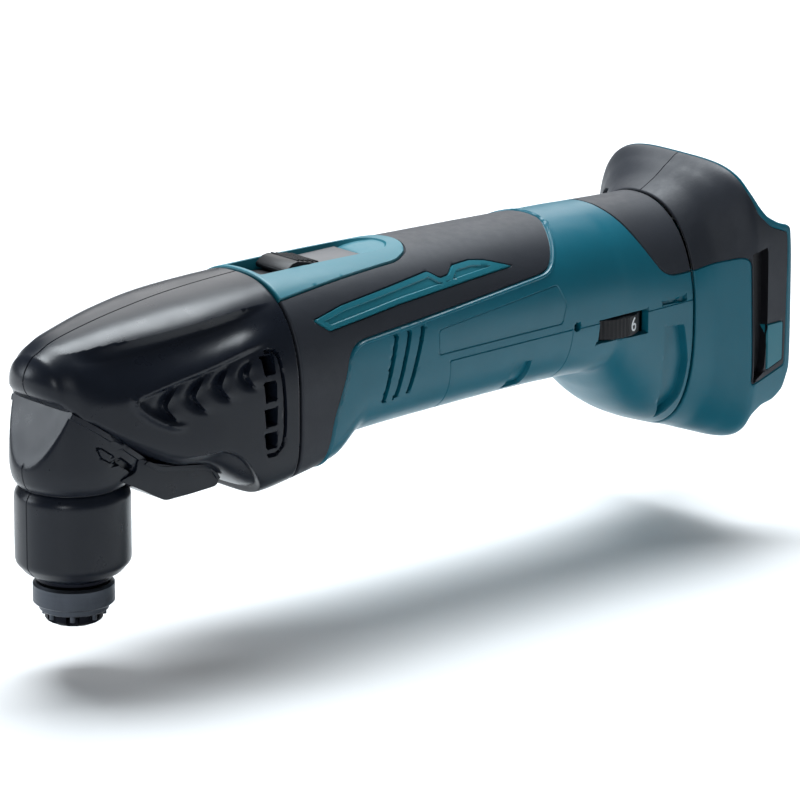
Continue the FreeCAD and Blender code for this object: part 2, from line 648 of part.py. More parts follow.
def commutator():
    ring = tube_x(COMMUTATOR_R, SHAFT_R, *COMMUTATOR_X)
    risers = tube_x(COMMUTATOR_R + 1.4, SHAFT_R, COMMUTATOR_X[0] - 2.5, COMMUTATOR_X[0])
    gaps = []
    for i in range(12):
        gap = box(COMMUTATOR_X[0] - 3, COMMUTATOR_X[1] + 1, -0.2, 0.2, MOTOR_Z + 4.6, MOTOR_Z + 8)
        gap.rotate(V(0, 0, MOTOR_Z), V(1, 0, 0), 30 * i)
        gaps.append(gap)
    return fused([ring, risers]).cut(gaps)


def fan():
    """Radial fan: hub, back plate and eleven blades."""
    hub = tube_x(6.0, SHAFT_R, FAN_X[0], FAN_X[1] + 3)
    plate = tube_x(FAN_R, SHAFT_R, FAN_X[0], FAN_X[0] + 1.4)
    blades = []
    for i in range(11):
        blade = box(FAN_X[0], FAN_X[1], -0.6, 0.6, MOTOR_Z + 9, MOTOR_Z + FAN_R - 0.3)
        blade.rotate(V(0, 0, MOTOR_Z + 9), V(1, 0, 0), 28)
        blade.rotate(V(0, 0, MOTOR_Z), V(1, 0, 0), 360 / 11 * i)
        blades.append(blade)
    return fused([hub, plate] + blades).common(cyl_x(FAN_R, 50, 80))


parts["rotor_shaft"] = rotor_shaft()
parts["rotor_core"] = rotor_core()
parts["commutator"] = commutator()
parts["fan"] = fan()
parts["eccentric_bearing"] = bearing_on_motor(3.0, ECCENTRIC_R, ECCENTRIC_X[0], 7.0, ECCENTRIC_OFFSET)

# ---- Brushes ----
BRUSH_X = (149.0, 156.0)
BRUSH_HALF_Z = 2.5


def mirrored_pair(shape):
    """A shape and its mirror image across the middle plane, as two solids."""
    return Part.makeCompound([shape, shape.mirror(V(0, 0, 0), V(0, 1, 0))])


def brush_holder():
    outer = box(BRUSH_X[0] - 1.2, BRUSH_X[1] + 1.2, 8.0, 24.0, MOTOR_Z - 3.9, MOTOR_Z + 3.9)
    room = box(BRUSH_X[0], BRUSH_X[1], 7, 23.0, MOTOR_Z - BRUSH_HALF_Z, MOTOR_Z + BRUSH_HALF_Z)
    return outer.cut(room)


def brush():
    block = box(BRUSH_X[0] + 0.1, BRUSH_X[1] - 0.1, 4.0, 14.0, MOTOR_Z - 2.4, MOTOR_Z + 2.4)
    return block.cut(cyl_x(COMMUTATOR_R + 0.08, 140, 165))


def brush_spring():
    """Coil spring behind a brush, as a turned sleeve with one ridge for each coil."""
    middle = (BRUSH_X[0] + BRUSH_X[1]) / 2
    profile = [V(middle + 1.2, 14.3, MOTOR_Z)]
    for i in range(6):
        profile.append(V(middle + 1.6, 14.3 + 1.2 * i, MOTOR_Z))
        profile.append(V(middle + 2.1, 14.9 + 1.2 * i, MOTOR_Z))
    profile += [V(middle + 1.6, 21.5, MOTOR_Z), V(middle + 1.2, 21.5, MOTOR_Z)]
    face = Part.Face(Part.makePolygon(profile + profile[:1]))
    return face.revolve(V(middle, 0, MOTOR_Z), V(0, 1, 0), 360)


parts["brush_holders"] = mirrored_pair(brush_holder())
parts["carbon_brushes"] = mirrored_pair(brush())
parts["brush_springs"] = mirrored_pair(brush_spring())


# ---- Switch ----
def switch_knob():
    """Ribbed thumb wedge, highest at its front, on a stem that reaches down to the rod."""
    x0, x1 = KNOB_X
    low_z = PLATE_Z[0] + 0.4
    wedge = side_prism([(x0, low_z), (x0, low_z + 1.4), (x0 + 3.0, KNOB_TOP_Z - 0.2), (x0 + 5.0, KNOB_TOP_Z),
                        (x1, low_z + 1.6), (x1, low_z)], -KNOB_HALF_Y, KNOB_HALF_Y)
    grooves = []
    for i in range(4):
        x = x0 + 6.0 + 2.0 * i
        grooves.append(box(x, x + 0.8, -KNOB_HALF_Y - 1, KNOB_HALF_Y + 1, KNOB_TOP_Z - 1.1 - 0.4 * i, 100))
    stem = box(x0 + 5.5, x0 + 12.5, -3.2, 3.2, ROD_Z[1], low_z + 0.1)
    return fused([wedge, stem]).cut(grooves)


parts["switch_knob"] = switch_knob()
parts["switch_slide"] = box(PLATE_X[0], PLATE_X[1], -KNOB_HALF_Y, KNOB_HALF_Y, *PLATE_Z)
parts["link_rod"] = box(81.0, 176.0, -3.4, 3.4, *ROD_Z)
parts["switch_block"] = box(182.5, 204.0, -8.0, 8.0, 75.0, 87.0)


# ---- Speed dial and electronics ----
def speed_dial():
    """Thumbwheel with a knurled rim and a stub axle."""
    wheel = cyl_z(DIAL_R, DIAL_Z[0], DIAL_Z[1], *DIAL_CENTRE)
    teeth = []
    for i in range(48):
        angle = 2 * math.pi * i / 48
        x = DIAL_CENTRE[0] + DIAL_R * math.cos(angle)
        y = DIAL_CENTRE[1] + DIAL_R * math.sin(angle)
        teeth.append(cyl_z(0.35, DIAL_Z[0] - 1, DIAL_Z[1] - 2.4, x, y))
    axle = cyl_z(3.0, DIAL_Z[0] - 4.3, DIAL_Z[1] + 2.5, *DIAL_CENTRE)
    return wheel.cut(teeth).fuse(axle).removeSplitter()


def controller_board():
    """Board under the dial, with the dial's pivot sleeve, a heat sink and a capacitor."""
    board = box(192.0, 240.0, -19.0, 15.0, BOARD_Z, BOARD_Z + 1.6)
    top = BOARD_Z + 1.5
    sleeve = cyl_z(4.6, top, DIAL_Z[0] - 0.5, *DIAL_CENTRE)
    heat_sink = box(224.0, 238.0, -5.0, 15.0, top, 62.0)
    fins = [box(223, 239, -2.5 + 4.5 * i, 0.0 + 4.5 * i, 52, 63) for i in range(4)]
    capacitor = cyl_z(5.0, top, 63.0, 232.0, -12.5)
    bore = cyl_z(3.0 + SHAFT_FIT, top + 0.2, 60, *DIAL_CENTRE)
    return fused([board, sleeve, heat_sink.cut(fins), capacitor]).cut(bore)


parts["speed_dial"] = speed_dial()
parts["controller_board"] = controller_board()

for name, shape in parts.items():
    shape.exportStep("parts/" + name + ".step")
    room = shape.BoundBox
    print(f"{name:24s} solids {len(shape.Solids)} valid {shape.isValid()} volume {shape.Volume:9.1f}",
          f"x {room.XMin:.1f} {room.XMax:.1f} y {room.YMin:.1f} {room.YMax:.1f}",
          f"z {room.ZMin:.1f} {room.ZMax:.1f}")
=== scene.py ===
"""Looks of a cordless oscillating multi-tool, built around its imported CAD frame.

Shapes are worked out in millimetres, in the frame's own axes, and become metres when a mesh is made.
+X runs back to the battery end, +Y is the tool's right-hand side, +Z is up.
"""
import json
import math

import bmesh
import bpy
import numpy as np
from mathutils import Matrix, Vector


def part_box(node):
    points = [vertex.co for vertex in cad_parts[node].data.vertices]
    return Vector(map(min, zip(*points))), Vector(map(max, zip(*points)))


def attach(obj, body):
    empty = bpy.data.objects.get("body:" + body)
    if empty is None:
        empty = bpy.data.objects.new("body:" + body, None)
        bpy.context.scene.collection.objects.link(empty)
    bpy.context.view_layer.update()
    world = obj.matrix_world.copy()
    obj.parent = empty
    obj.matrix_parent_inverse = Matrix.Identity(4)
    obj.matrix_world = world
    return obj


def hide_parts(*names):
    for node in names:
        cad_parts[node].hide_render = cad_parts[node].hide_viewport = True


MM = 0.001
FAR = 9.0                  # a distance that counts as away from a feature
UPPER_Z = 82.0             # outlines seen from above apply only higher than this
SNAP = 0.03                # mesh points nearer to a line than this are moved on to it
NEAR = 6.0                 # fields are measured exactly only this close to their lines
SOFT_RUN = 0.7             # a recess wall with a longer run than this is curved
FILLET_STEPS = 5
SHARP = 38                 # degrees: edges sharper than this are shaded as edges
LEFT, RIGHT = -1, 1
SIDES = {"left": LEFT, "right": RIGHT}

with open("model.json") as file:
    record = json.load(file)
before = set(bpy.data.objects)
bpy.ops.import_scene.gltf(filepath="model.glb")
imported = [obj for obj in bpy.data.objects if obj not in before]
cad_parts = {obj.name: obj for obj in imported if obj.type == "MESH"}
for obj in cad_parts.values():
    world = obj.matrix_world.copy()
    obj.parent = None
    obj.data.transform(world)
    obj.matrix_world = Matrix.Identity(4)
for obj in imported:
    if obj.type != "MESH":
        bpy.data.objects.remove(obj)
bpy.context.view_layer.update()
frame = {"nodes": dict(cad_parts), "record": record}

# ---- Driving dimensions, the same as the CAD's ----
JOINT_X = 68.0
HALF_GAP = 0.45
RING_X = 243.0
RIM_X = 263.0
CHEEK_X = 277.6
CHEEK_IN_Y = 33.0
BACK_PLATE_X = 259.6

# Section stations: x, half width, top z, widest z, bottom z, top exponent, bottom exponent
BODY = [
    (JOINT_X, 30.6, 96.9, 60.0, 31.5, 2.4, 5.0),
    (86.0, 30.2, 96.8, 62.0, 34.5, 2.4, 4.5),
    (98.0, 29.8, 96.6, 64.0, 40.0, 2.4, 3.2),
    (150.0, 28.8, 95.4, 66.0, 40.0, 2.3, 2.8),
    (208.0, 28.2, 93.7, 65.0, 38.0, 2.2, 2.6),
    (214.0, 28.1, 93.5, 62.0, 31.0, 2.2, 2.6),
    (222.0, 28.0, 93.2, 60.0, 23.0, 2.2, 2.6),
    (230.0, 27.8, 92.9, 58.0, 18.0, 2.2, 2.6),
    (RING_X, 27.5, 92.5, 56.0, 13.0, 2.2, 2.6),
]
HOOD = [
    (-18.7, 10.2, 82.9, 76.8, 72.0, 2.1, 2.6),
    (-14.0, 12.6, 84.5, 73.5, 70.6, 2.3, 3.5),
    (-8.0, 17.9, 87.4, 70.0, 64.6, 2.4, 7.0),
    (4.0, 22.0, 90.4, 67.5, 55.6, 2.5, 8.0),
    (20.0, 26.0, 93.2, 66.5, 46.2, 2.6, 7.0),
    (38.0, 29.5, 95.4, 63.0, 39.0, 2.6, 5.5),
    (56.0, 30.6, 96.5, 60.0, 30.0, 2.5, 5.0),
    BODY[0],
]
HOOD_TIP = (-14.0, -18.7)  # x where the nose starts to round off, and x of its tip
REAR = [
    BODY[-1],
    (250.0, 29.5, 96.0, 57.0, 11.0, 2.6, 2.8),
    (256.0, 34.0, 100.0, 58.0, 9.0, 3.2, 3.6),
    (262.0, 38.4, 103.0, 60.0, 7.5, 3.8, 4.6),
    (278.0, 38.4, 103.0, 60.0, 7.5, 3.8, 4.6),
]


# ---- Numbers along curves ----
def eased(x, knots, values):
    """Values between knots, on a smooth curve that doesn't overshoot them."""
    step = np.diff(knots)
    slope = np.diff(values) / step
    safe = np.where(slope == 0, 1.0, slope)
    near, far = 2 * step[1:] + step[:-1], step[1:] + 2 * step[:-1]
    with np.errstate(divide="ignore", invalid="ignore"):
        mean = (near + far) / (near / safe[:-1] + far / safe[1:])
    inner = np.where(slope[:-1] * slope[1:] > 0, mean, 0.0)
    tangent = np.concatenate([slope[:1], inner, slope[-1:]])
    i = np.clip(np.searchsorted(knots, x) - 1, 0, len(step) - 1)
    t = (x - knots[i]) / step[i]
    rest = 1 - t
    ends = values[i] * (1 + 2 * t) * rest**2 + values[i + 1] * t * t * (3 - 2 * t)
    return ends + step[i] * t * rest * (tangent[i] * rest - tangent[i + 1] * t)


def along(x, spots):
    """Smooth value at x through (x, value) spots, held level beyond both ends."""
    knots, values = np.array(spots, float).T
    return eased(np.clip(x, knots[0], knots[-1]), knots, values)


def ramp(value, low, high):
    """Smooth step from 0 at low to 1 at high."""
    t = np.clip((value - low) / (high - low), 0, 1)
    return t * t * (3 - 2 * t)


def filleted(rows):
    """A chain of rows (values..., radius), with each inner corner rounded off by its radius."""
    rows = [np.array(row, float) for row in rows]
    out = [rows[0][:-1]]
    for before, here, after in zip(rows, rows[1:], rows[2:]):
        a, corner, b, radius = before[:-1], here[:-1], after[:-1], here[-1]
        to_a, to_b = a - corner, b - corner
        reach_a = min(radius, 0.48 * np.linalg.norm(to_a)) / np.linalg.norm(to_a)
        reach_b = min(radius, 0.48 * np.linalg.norm(to_b)) / np.linalg.norm(to_b)
        start, end = corner + to_a * reach_a, corner + to_b * reach_b
        for t in np.linspace(0, 1, FILLET_STEPS + 1):
            out.append(start * (1 - t) ** 2 + corner * 2 * t * (1 - t) + end * t * t)
    out.append(rows[-1][:-1])
    return np.array(out)


def closed_fillet(points, radius):
    """A closed outline with every corner rounded off."""
    rows = [tuple(p) + (radius,) for p in points]
    return filleted([rows[-1]] + rows + [rows[0]])[1:-1]


# ---- Surfaces ----
class Sections:
    """Surface of a body along X. A spot on it is (x, angle): 0 is to the right, a quarter turn is up."""

    def __init__(self, stations, tip=None):
        self.table = np.array(stations, float).T
        self.tip = tip

    def at(self, spots):
        x, angle = spots.T
        values = [eased(x, self.table[0], column) for column in self.table[1:]]
        half_w, top, wide, low, n_top, n_low = values
        c, s = np.cos(angle), np.sin(angle)
        n = np.where(s >= 0, n_top, n_low)
        rise = np.where(s >= 0, top - wide, wide - low)
        k = (np.abs(c) ** n + np.abs(s) ** n) ** (-1 / n)
        if self.tip:
            start, end = self.tip
            beyond = np.clip((x - start) / (end - start), 0, 1)
            k = k * np.sqrt(1 - beyond**2)
        return np.column_stack([x, half_w * c * k, wide + rise * s * k])


class Rings:
    """Surface round the Z axis. A spot is (length along the profile, angle), with angle 0 to the rear.

    Each row is z, front reach, rear reach, half width, squareness of the rear half, corner radius.
    """

    def __init__(self, rows):
        self.rows = filleted(rows)
        steps = np.linalg.norm(np.diff(self.rows[:, :2], axis=0), axis=1)
        self.length = np.concatenate([[0], np.cumsum(np.maximum(steps, 1e-4))])

    def at(self, spots):
        u, angle = spots.T
        z, front, rear, half_w, square = (np.interp(u, self.length, column) for column in self.rows.T)
        c, s = np.cos(angle), np.sin(angle)
        power = np.where(c > 0, 2 / square, 1.0)
        x = np.where(c > 0, rear, front) * np.sign(c) * np.abs(c) ** power
        return np.column_stack([x, half_w * np.sign(s) * np.abs(s) ** power, z])

    def steps(self, cell):
        """Lengths that hit every corner of the profile, no further apart than a cell."""
        out = []
        for a, b in zip(self.length, self.length[1:]):
            count = max(1, int(math.ceil((b - a) / cell)))
            out += list(np.linspace(a, b, count, endpoint=False))
        return np.array(out + [self.length[-1]])


def line_distance(chain, p, q):
    """Distance from points (p, q) to an open chain."""
    nearest = np.full(len(p), np.inf)
    for (ax, ay), (bx, by) in zip(chain, chain[1:]):
        ex, ey = bx - ax, by - ay
        t = np.clip(((p - ax) * ex + (q - ay) * ey) / (ex * ex + ey * ey), 0, 1)
        nearest = np.minimum(nearest, (p - ax - t * ex) ** 2 + (q - ay - t * ey) ** 2)
    return np.sqrt(nearest)


def signed_distance(outline, p, q):
    """Distance from points (p, q) to a closed outline, negative inside it."""
    chain = [*outline, outline[0]]
    odd = np.zeros(len(p), bool)
    for (ax, ay), (bx, by) in zip(chain, chain[1:]):
        if ay != by:
            odd ^= ((ay > q) != (by > q)) & (p < ax + (q - ay) / (by - ay) * (bx - ax))
    return np.where(odd, -1, 1) * line_distance(chain, p, q)


def side_area(points, radius, side=None):
    """Field of a rounded outline seen from the side, on one side of the tool or on both."""
    outline = closed_fillet(points, radius)

    def field(points):
        value = signed_distance(outline, points[:, 0], points[:, 2])
        return value if side is None else np.where(points[:, 1] * side > 0, value, FAR)
    return field


def strip(chain, half_width):
    """Field of a narrow band along a chain seen from the side."""
    return lambda points: line_distance(chain, points[:, 0], points[:, 2]) - half_width


def round_hole(centre_x, centre_z, radius, side):
    """Field of a circle seen from one side of the tool."""
    def field(points):
        value = np.hypot(points[:, 0] - centre_x, points[:, 2] - centre_z) - radius
        return np.where(points[:, 1] * side > 0, value, FAR)
    return field


def top_area(half, radius):
    """Field of a rounded outline seen from above, on the upper surface only, from its left half."""
    outline = closed_fillet(half + [(x, -y) for x, y in half[-2::-1]], radius)

    def field(points):
        value = signed_distance(outline, points[:, 0], points[:, 1])
        return np.where(points[:, 2] > UPPER_Z, value, FAR)
    return field


def middle_line(points):
    """Field of the plane that the casing's halves meet on."""
    return np.abs(points[:, 1])


def unmoved(points):
    return np.zeros(len(points))


# ---- Features: a field, the lines it needs in the mesh, and how far it moves the surface ----
def everywhere(points):
    return 1


def as_is(points):
    return points


class Split:
    """Groove along the edge of an area."""

    def __init__(self, field, half_width, depth, fade=everywhere):
        self.field, self.half_width, self.depth, self.fade = field, half_width, depth, fade
        self.levels = (half_width, half_width / 2, 0, -half_width / 2, -half_width)

    def move(self, distance, points):
        near = np.clip(1 - (distance / self.half_width) ** 2, 0, None)
        return -self.depth * near * self.fade(points)


class Recess:
    """Area let in by a depth, or raised if the depth is negative, with a wall of a given run."""

    def __init__(self, field, depth, run, hole=False):
        self.field, self.depth, self.run, self.hole = field, depth, run, hole
        self.levels = (0, -run) if run < SOFT_RUN else (0, -run * 0.25, -run * 0.5, -run * 0.75, -run)

    def move(self, distance, points):
        if self.run < SOFT_RUN:
            share = np.clip(-distance / self.run, 0, 1)
        else:
            share = ramp(-distance, 0, self.run)
        depth = self.depth(points) if callable(self.depth) else self.depth
        return -depth * share


class Band:
    """Strip raised between two distances from an edge."""

    def __init__(self, field, low, high, height, slope, fade=everywhere):
        self.field, self.low, self.high, self.height = field, low, high, height
        self.slope, self.fade = slope, fade
        self.levels = (low, low + slope, high - slope, high)

    def move(self, distance, points):
        up = np.clip((distance - self.low) / self.slope, 0, 1)
        down = np.clip((self.high - distance) / self.slope, 0, 1)
        return self.height * np.minimum(up, down) * self.fade(points)


class RoundedEdge:
    """Edge of a part at a plane, rounded off by a radius."""

    def __init__(self, field, radius):
        self.field, self.radius = field, radius
        self.levels = tuple(-radius * share for share in (0.05, 0.25, 0.6, 1.0))

    def move(self, distance, points):
        inwards = np.clip(distance + self.radius, 0, self.radius)
        return np.sqrt(np.maximum(self.radius**2 - inwards**2, 0)) - self.radius


class Shape:
    """Smooth change of shape, given as each point's movement, with lines in the mesh if a field is given."""

    def __init__(self, move, field=None, levels=()):
        self.given, self.field, self.levels = move, field, levels

    def move(self, distance, points):
        return self.given(points)


class Patch:
    """Triangles on a surface, held as spots until they are placed."""

    def __init__(self, surface, us, vs):
        self.surface = surface
        u, v = np.meshgrid(us, vs, indexing="ij")
        self.spots = np.column_stack([u.ravel(), v.ravel()])
        ids = np.arange(len(self.spots)).reshape(len(us), len(vs))
        a, b, c, d = ids[:-1, :-1], ids[1:, :-1], ids[1:, 1:], ids[:-1, 1:]
        flip = (np.add.outer(np.arange(len(us) - 1), np.arange(len(vs) - 1)) % 2 == 0)[..., None]
        first = np.where(flip, np.stack([a, c, b], -1), np.stack([a, d, b], -1))
        second = np.where(flip, np.stack([a, d, c], -1), np.stack([b, d, c], -1))
        self.tris = np.concatenate([first.reshape(-1, 3), second.reshape(-1, 3)])
        self.features = []

    def like(self, spots, tris=None):
        """A patch of the same surface and features on other spots."""
        other = Patch.__new__(Patch)
        other.surface, other.features = self.surface, self.features
        other.spots, other.tris = spots, tris
        return other

    def normals(self):
        """Points of the surface, and the direction out of it at each of them."""
        step_u, step_v = 1e-3, 1e-4
        here = self.surface.at(self.spots)
        along_u = (self.surface.at(self.spots + [step_u, 0]) - here) / step_u
        along_v = (self.surface.at(self.spots + [0, step_v]) - here) / step_v
        across = np.cross(along_v, along_u)
        return here, across / np.maximum(np.linalg.norm(across, axis=1), 1e-9)[:, None]

    def distance(self, field):
        """A field as a distance on the surface itself."""
        here = self.surface.at(self.spots)
        value = field(here)
        near = np.abs(value) < NEAR
        step_u, step_v = 0.02, 0.001
        spots = self.spots[near]
        steepness = np.zeros(len(spots))
        for step in ((step_u, 0), (0, step_v)):
            ahead, behind = self.surface.at(spots + step), self.surface.at(spots - step)
            gap = np.maximum(np.linalg.norm(ahead - behind, axis=1), 1e-9)
            steepness += ((field(ahead) - field(behind)) / gap) ** 2
        value[near] = value[near] / np.clip(np.sqrt(steepness), 0.3, 1.0)
        return value

    def imprint(self, features):
        """Adds each feature's lines to the mesh."""
        for feature in features:
            self.features.append(feature)
            if feature.levels:
                value = self.distance(feature.field)
                for level in sorted(feature.levels):
                    value = self.split(value, level)

    def split(self, value, level):
        """Cuts every triangle that a field's level crosses, and gives the field at the old and new spots."""
        f = value - level
        f[np.abs(f) < SNAP] = 0
        value = np.where(f == 0, level, value)
        sign = np.sign(f).astype(int)
        corner = sign[self.tris]
        mixed = (corner.min(1) < 0) & (corner.max(1) > 0)
        if not mixed.any():
            return value
        tris, corner = self.tris[mixed], corner[mixed]
        has_zero = (corner == 0).any(1)
        lone = np.where(corner.sum(1)[:, None] > 0, corner < 0, corner > 0)
        first = np.where(has_zero, np.argmax(corner == 0, 1), np.argmax(lone, 1))
        turn = (first[:, None] + np.arange(3)) % 3
        a, b, c = np.take_along_axis(tris, turn, 1).T
        cut = ~has_zero
        pairs = np.concatenate([np.column_stack([a[cut], b[cut]]), np.column_stack([a[cut], c[cut]]),
                                np.column_stack([b[has_zero], c[has_zero]])])
        pairs.sort(1)
        edges, which = np.unique(pairs, axis=0, return_inverse=True)
        which = which.ravel() + len(self.spots)
        low, high = edges.T
        share = (f[low] / (f[low] - f[high]))[:, None]
        self.spots = np.concatenate([self.spots, self.spots[low] * (1 - share) + self.spots[high] * share])
        value = np.concatenate([value, np.full(len(edges), level)])
        count = cut.sum()
        ab, ac, bc = which[:count], which[count:2 * count], which[2 * count:]
        new = [np.column_stack([a[cut], ab, ac]), np.column_stack([ab, b[cut], c[cut]]),
               np.column_stack([ab, c[cut], ac]), np.column_stack([a[has_zero], b[has_zero], bc]),
               np.column_stack([a[has_zero], bc, c[has_zero]])]
        self.tris = np.concatenate([self.tris[~mixed]] + new)
        return value

    def part(self, area=None, outside=()):
        """The piece of this patch inside one area and outside others."""
        middle = self.surface.at(self.spots[self.tris].mean(1))
        keep = np.ones(len(self.tris), bool) if area is None else area(middle) < 0
        for field in outside:
            keep &= field(middle) > 0
        return self.like(self.spots, self.tris[keep])

    def opened(self):
        """The piece without the triangles inside its holes, or the spots that only those used."""
        middle = self.like(self.spots[self.tris].mean(1))
        keep = np.ones(len(self.tris), bool)
        for feature in self.features:
            if getattr(feature, "hole", False):
                keep &= middle.distance(feature.field) > -feature.run
        used, tris = np.unique(self.tris[keep], return_inverse=True)
        return self.like(self.spots[used], tris.reshape(-1, 3))

    def shell(self, thickness, warp=as_is, inner_warp=as_is):
        """Points and triangles of a closed wall: the moved surface outside, the plain one inside."""
        placed = self.opened()
        tris = placed.tris
        here, normal = placed.normals()
        move = np.zeros(len(here))
        for feature in self.features:
            distance = None if feature.field is None else placed.distance(feature.field)
            move += feature.move(distance, here)
        outer = warp(here + normal * move[:, None])
        inner = inner_warp(here - normal * thickness)
        _, first, same = np.unique(np.round(here, 4), axis=0, return_index=True, return_inverse=True)
        tris = same.ravel()[tris]
        tris = tris[(tris[:, 0] != tris[:, 1]) & (tris[:, 1] != tris[:, 2]) & (tris[:, 0] != tris[:, 2])]
        outer, inner = outer[first], inner[first]
        sides = np.concatenate([tris[:, [0, 1]], tris[:, [1, 2]], tris[:, [2, 0]]])
        keys = np.sort(sides, 1)
        _, index, counts = np.unique(keys, axis=0, return_index=True, return_counts=True)
        rim = sides[index[counts == 1]]
        n = len(outer)
        walls = np.concatenate([np.column_stack([rim[:, 1], rim[:, 0], rim[:, 0] + n]),
                                np.column_stack([rim[:, 1], rim[:, 0] + n, rim[:, 1] + n])])
        return np.concatenate([outer, inner]), np.concatenate([tris, tris[:, ::-1] + n, walls])


# ---- Meshes ----
def added(name, data):
    obj = bpy.data.objects.new(name, data)
    bpy.context.scene.collection.objects.link(obj)
    return obj


def mesh_at_work(name, points, faces):
    """Mesh from points in millimetres, and the same opened for editing."""
    mesh = bpy.data.meshes.new(name)
    mesh.from_pydata((np.asarray(points, float) * MM).tolist(), [], [list(map(int, f)) for f in faces])
    work = bmesh.new()
    work.from_mesh(mesh)
    return mesh, work


def shaded(name, mesh, work, material, sharp):
    """Object of an edited mesh, smooth but for its sharp edges."""
    work.to_mesh(mesh)
    work.free()
    mesh.shade_smooth()
    mesh.set_sharp_from_angle(angle=math.radians(sharp))
    mesh.materials.append(material)
    return added(name, mesh)


def add_mesh(name, points, faces, material, sharp=SHARP):
    """Object from points in millimetres, with points that coincide made one."""
    mesh, work = mesh_at_work(name, points, faces)
    bmesh.ops.remove_doubles(work, verts=work.verts, dist=0.004 * MM)
    bmesh.ops.dissolve_degenerate(work, edges=work.edges, dist=0.002 * MM)
    loose = [v for v in work.verts if not v.link_faces]
    bmesh.ops.delete(work, geom=loose, context="VERTS")
    return shaded(name, mesh, work, material, sharp)


def prism(name, outline, axis, low, high, material, bevel, segments=3, sharp=SHARP):
    """Block with a given outline, pulled along an axis, with rounded edges."""
    count, k = len(outline), "xyz".index(axis)
    points = [(*spot[:k], end, *spot[k:]) for end in (low, high) for spot in outline]
    faces = [list(range(count))[::-1], list(range(count, 2 * count))] + ring_faces([0, 1], count)
    mesh, work = mesh_at_work(name, points, faces)
    bmesh.ops.recalc_face_normals(work, faces=work.faces)
    if bevel:
        edges = [e for e in work.edges if e.calc_face_angle(0) > math.radians(25)]
        bmesh.ops.bevel(work, geom=edges, offset=bevel * MM, segments=segments, profile=0.5, affect="EDGES",
                        clamp_overlap=True)
    return shaded(name, mesh, work, material, sharp)


def joined(objects, name):
    """Several objects as one."""
    bpy.ops.object.select_all(action="DESELECT")
    for obj in objects:
        obj.select_set(True)
    bpy.context.view_layer.objects.active = objects[0]
    if len(objects) > 1:
        bpy.ops.object.join()
    objects[0].name = name
    return objects[0]


def stands_for(obj, body, slot, *nodes):
    """A finished piece: it rides on a body and replaces those of its nodes that the CAD has."""
    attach(obj, body)
    nodes = [node for node in nodes if node in frame["nodes"]]
    if nodes:
        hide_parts(*nodes)


def ring_faces(rings, count):
    """Quads between rings of points, each ring to the next."""
    faces = []
    for this, after in zip(rings, rings[1:]):
        for i in range(count):
            k = (i + 1) % count
            faces.append((this * count + i, this * count + k, after * count + k, after * count + i))
    return faces


def rectangle(p0, p1, q0, q1):
    return [(p0, q0), (p1, q0), (p1, q1), (p0, q1)]


# ---- Materials ----
class Finish:
    """A procedural material, with short ways to add its nodes."""

    def __init__(self, name, colour, roughness, metallic=0.0, specular=0.5):
        self.material = bpy.data.materials.new(name)
        self.material.use_nodes = True
        self.tree = self.material.node_tree
        self.shader = self.tree.nodes["Principled BSDF"]
        self.colour, self.roughness = colour, roughness
        self.fill(self.shader, {"Base Color": (*colour, 1), "Roughness": roughness, "Metallic": metallic,
                               "Specular IOR Level": specular})
        self.place = self.tree.nodes.new("ShaderNodeTexCoord").outputs["Object"]

    def fill(self, node, values):
        for name, value in values.items():
            node.inputs[name].default_value = value

    def node(self, kind, **values):
        node = self.tree.nodes.new(kind)
        for name, value in values.items():
            if name in node.inputs.keys():
                node.inputs[name].default_value = value
            else:
                setattr(node, name, value)
        return node

    def link(self, output, target):
        self.tree.links.new(output, target)

    def noise(self, scale, detail, stretch=None):
        """Noise in the part's own space: scale in cells per metre."""
        texture = self.node("ShaderNodeTexNoise", Scale=scale, Detail=detail, Roughness=0.55)
        source = self.place
        if stretch:
            mapping = self.node("ShaderNodeMapping", Scale=stretch)
            self.link(source, mapping.inputs["Vector"])
            source = mapping.outputs["Vector"]
        self.link(source, texture.inputs["Vector"])
        return texture.outputs["Fac"]

    def ranged(self, value, low, high):
        """The middle of a noise's range, spread from low to high."""
        node = self.node("ShaderNodeMapRange")
        self.fill(node, {"From Min": 0.3, "From Max": 0.7, "To Min": low, "To Max": high})
        self.link(value, node.inputs["Value"])
        return node.outputs["Result"]

    def mottle(self, scale, amount):
        """Slow change of the colour's brightness."""
        mix = self.node("ShaderNodeMix", data_type="RGBA")
        mix.inputs["A"].default_value = (*(c * (1 - amount) for c in self.colour), 1)
        mix.inputs["B"].default_value = (*(min(1, c * (1 + amount)) for c in self.colour), 1)
        self.link(self.ranged(self.noise(scale, 4), 0, 1), mix.inputs["Factor"])
        self.link(mix.outputs["Result"], self.shader.inputs["Base Color"])
        return self

    def patchy_gloss(self, scale, amount, stretch=None):
        low, high = self.roughness - amount, self.roughness + amount
        self.link(self.ranged(self.noise(scale, 4, stretch), low, high), self.shader.inputs["Roughness"])
        return self

    def grain(self, layers):
        """Bump from layers of (scale, height in millimetres, stretch)."""
        normal = None
        for scale, height, stretch in layers:
            bump = self.node("ShaderNodeBump", Distance=height * MM, Strength=1.0)
            self.link(self.noise(scale, 2, stretch), bump.inputs["Height"])
            if normal is not None:
                self.link(normal, bump.inputs["Normal"])
            normal = bump.outputs["Normal"]
        self.link(normal, self.shader.inputs["Normal"])
        return self


def moulded(name, colour, roughness, grain=0.010, specular=0.5):
    """Injection-moulded plastic with a fine spark-eroded texture."""
    finish = Finish(name, colour, roughness, 0.0, specular).mottle(45, 0.05).patchy_gloss(120, 0.035)
    return finish.grain([(2600, grain, None), (60, 0.03, None)]).material


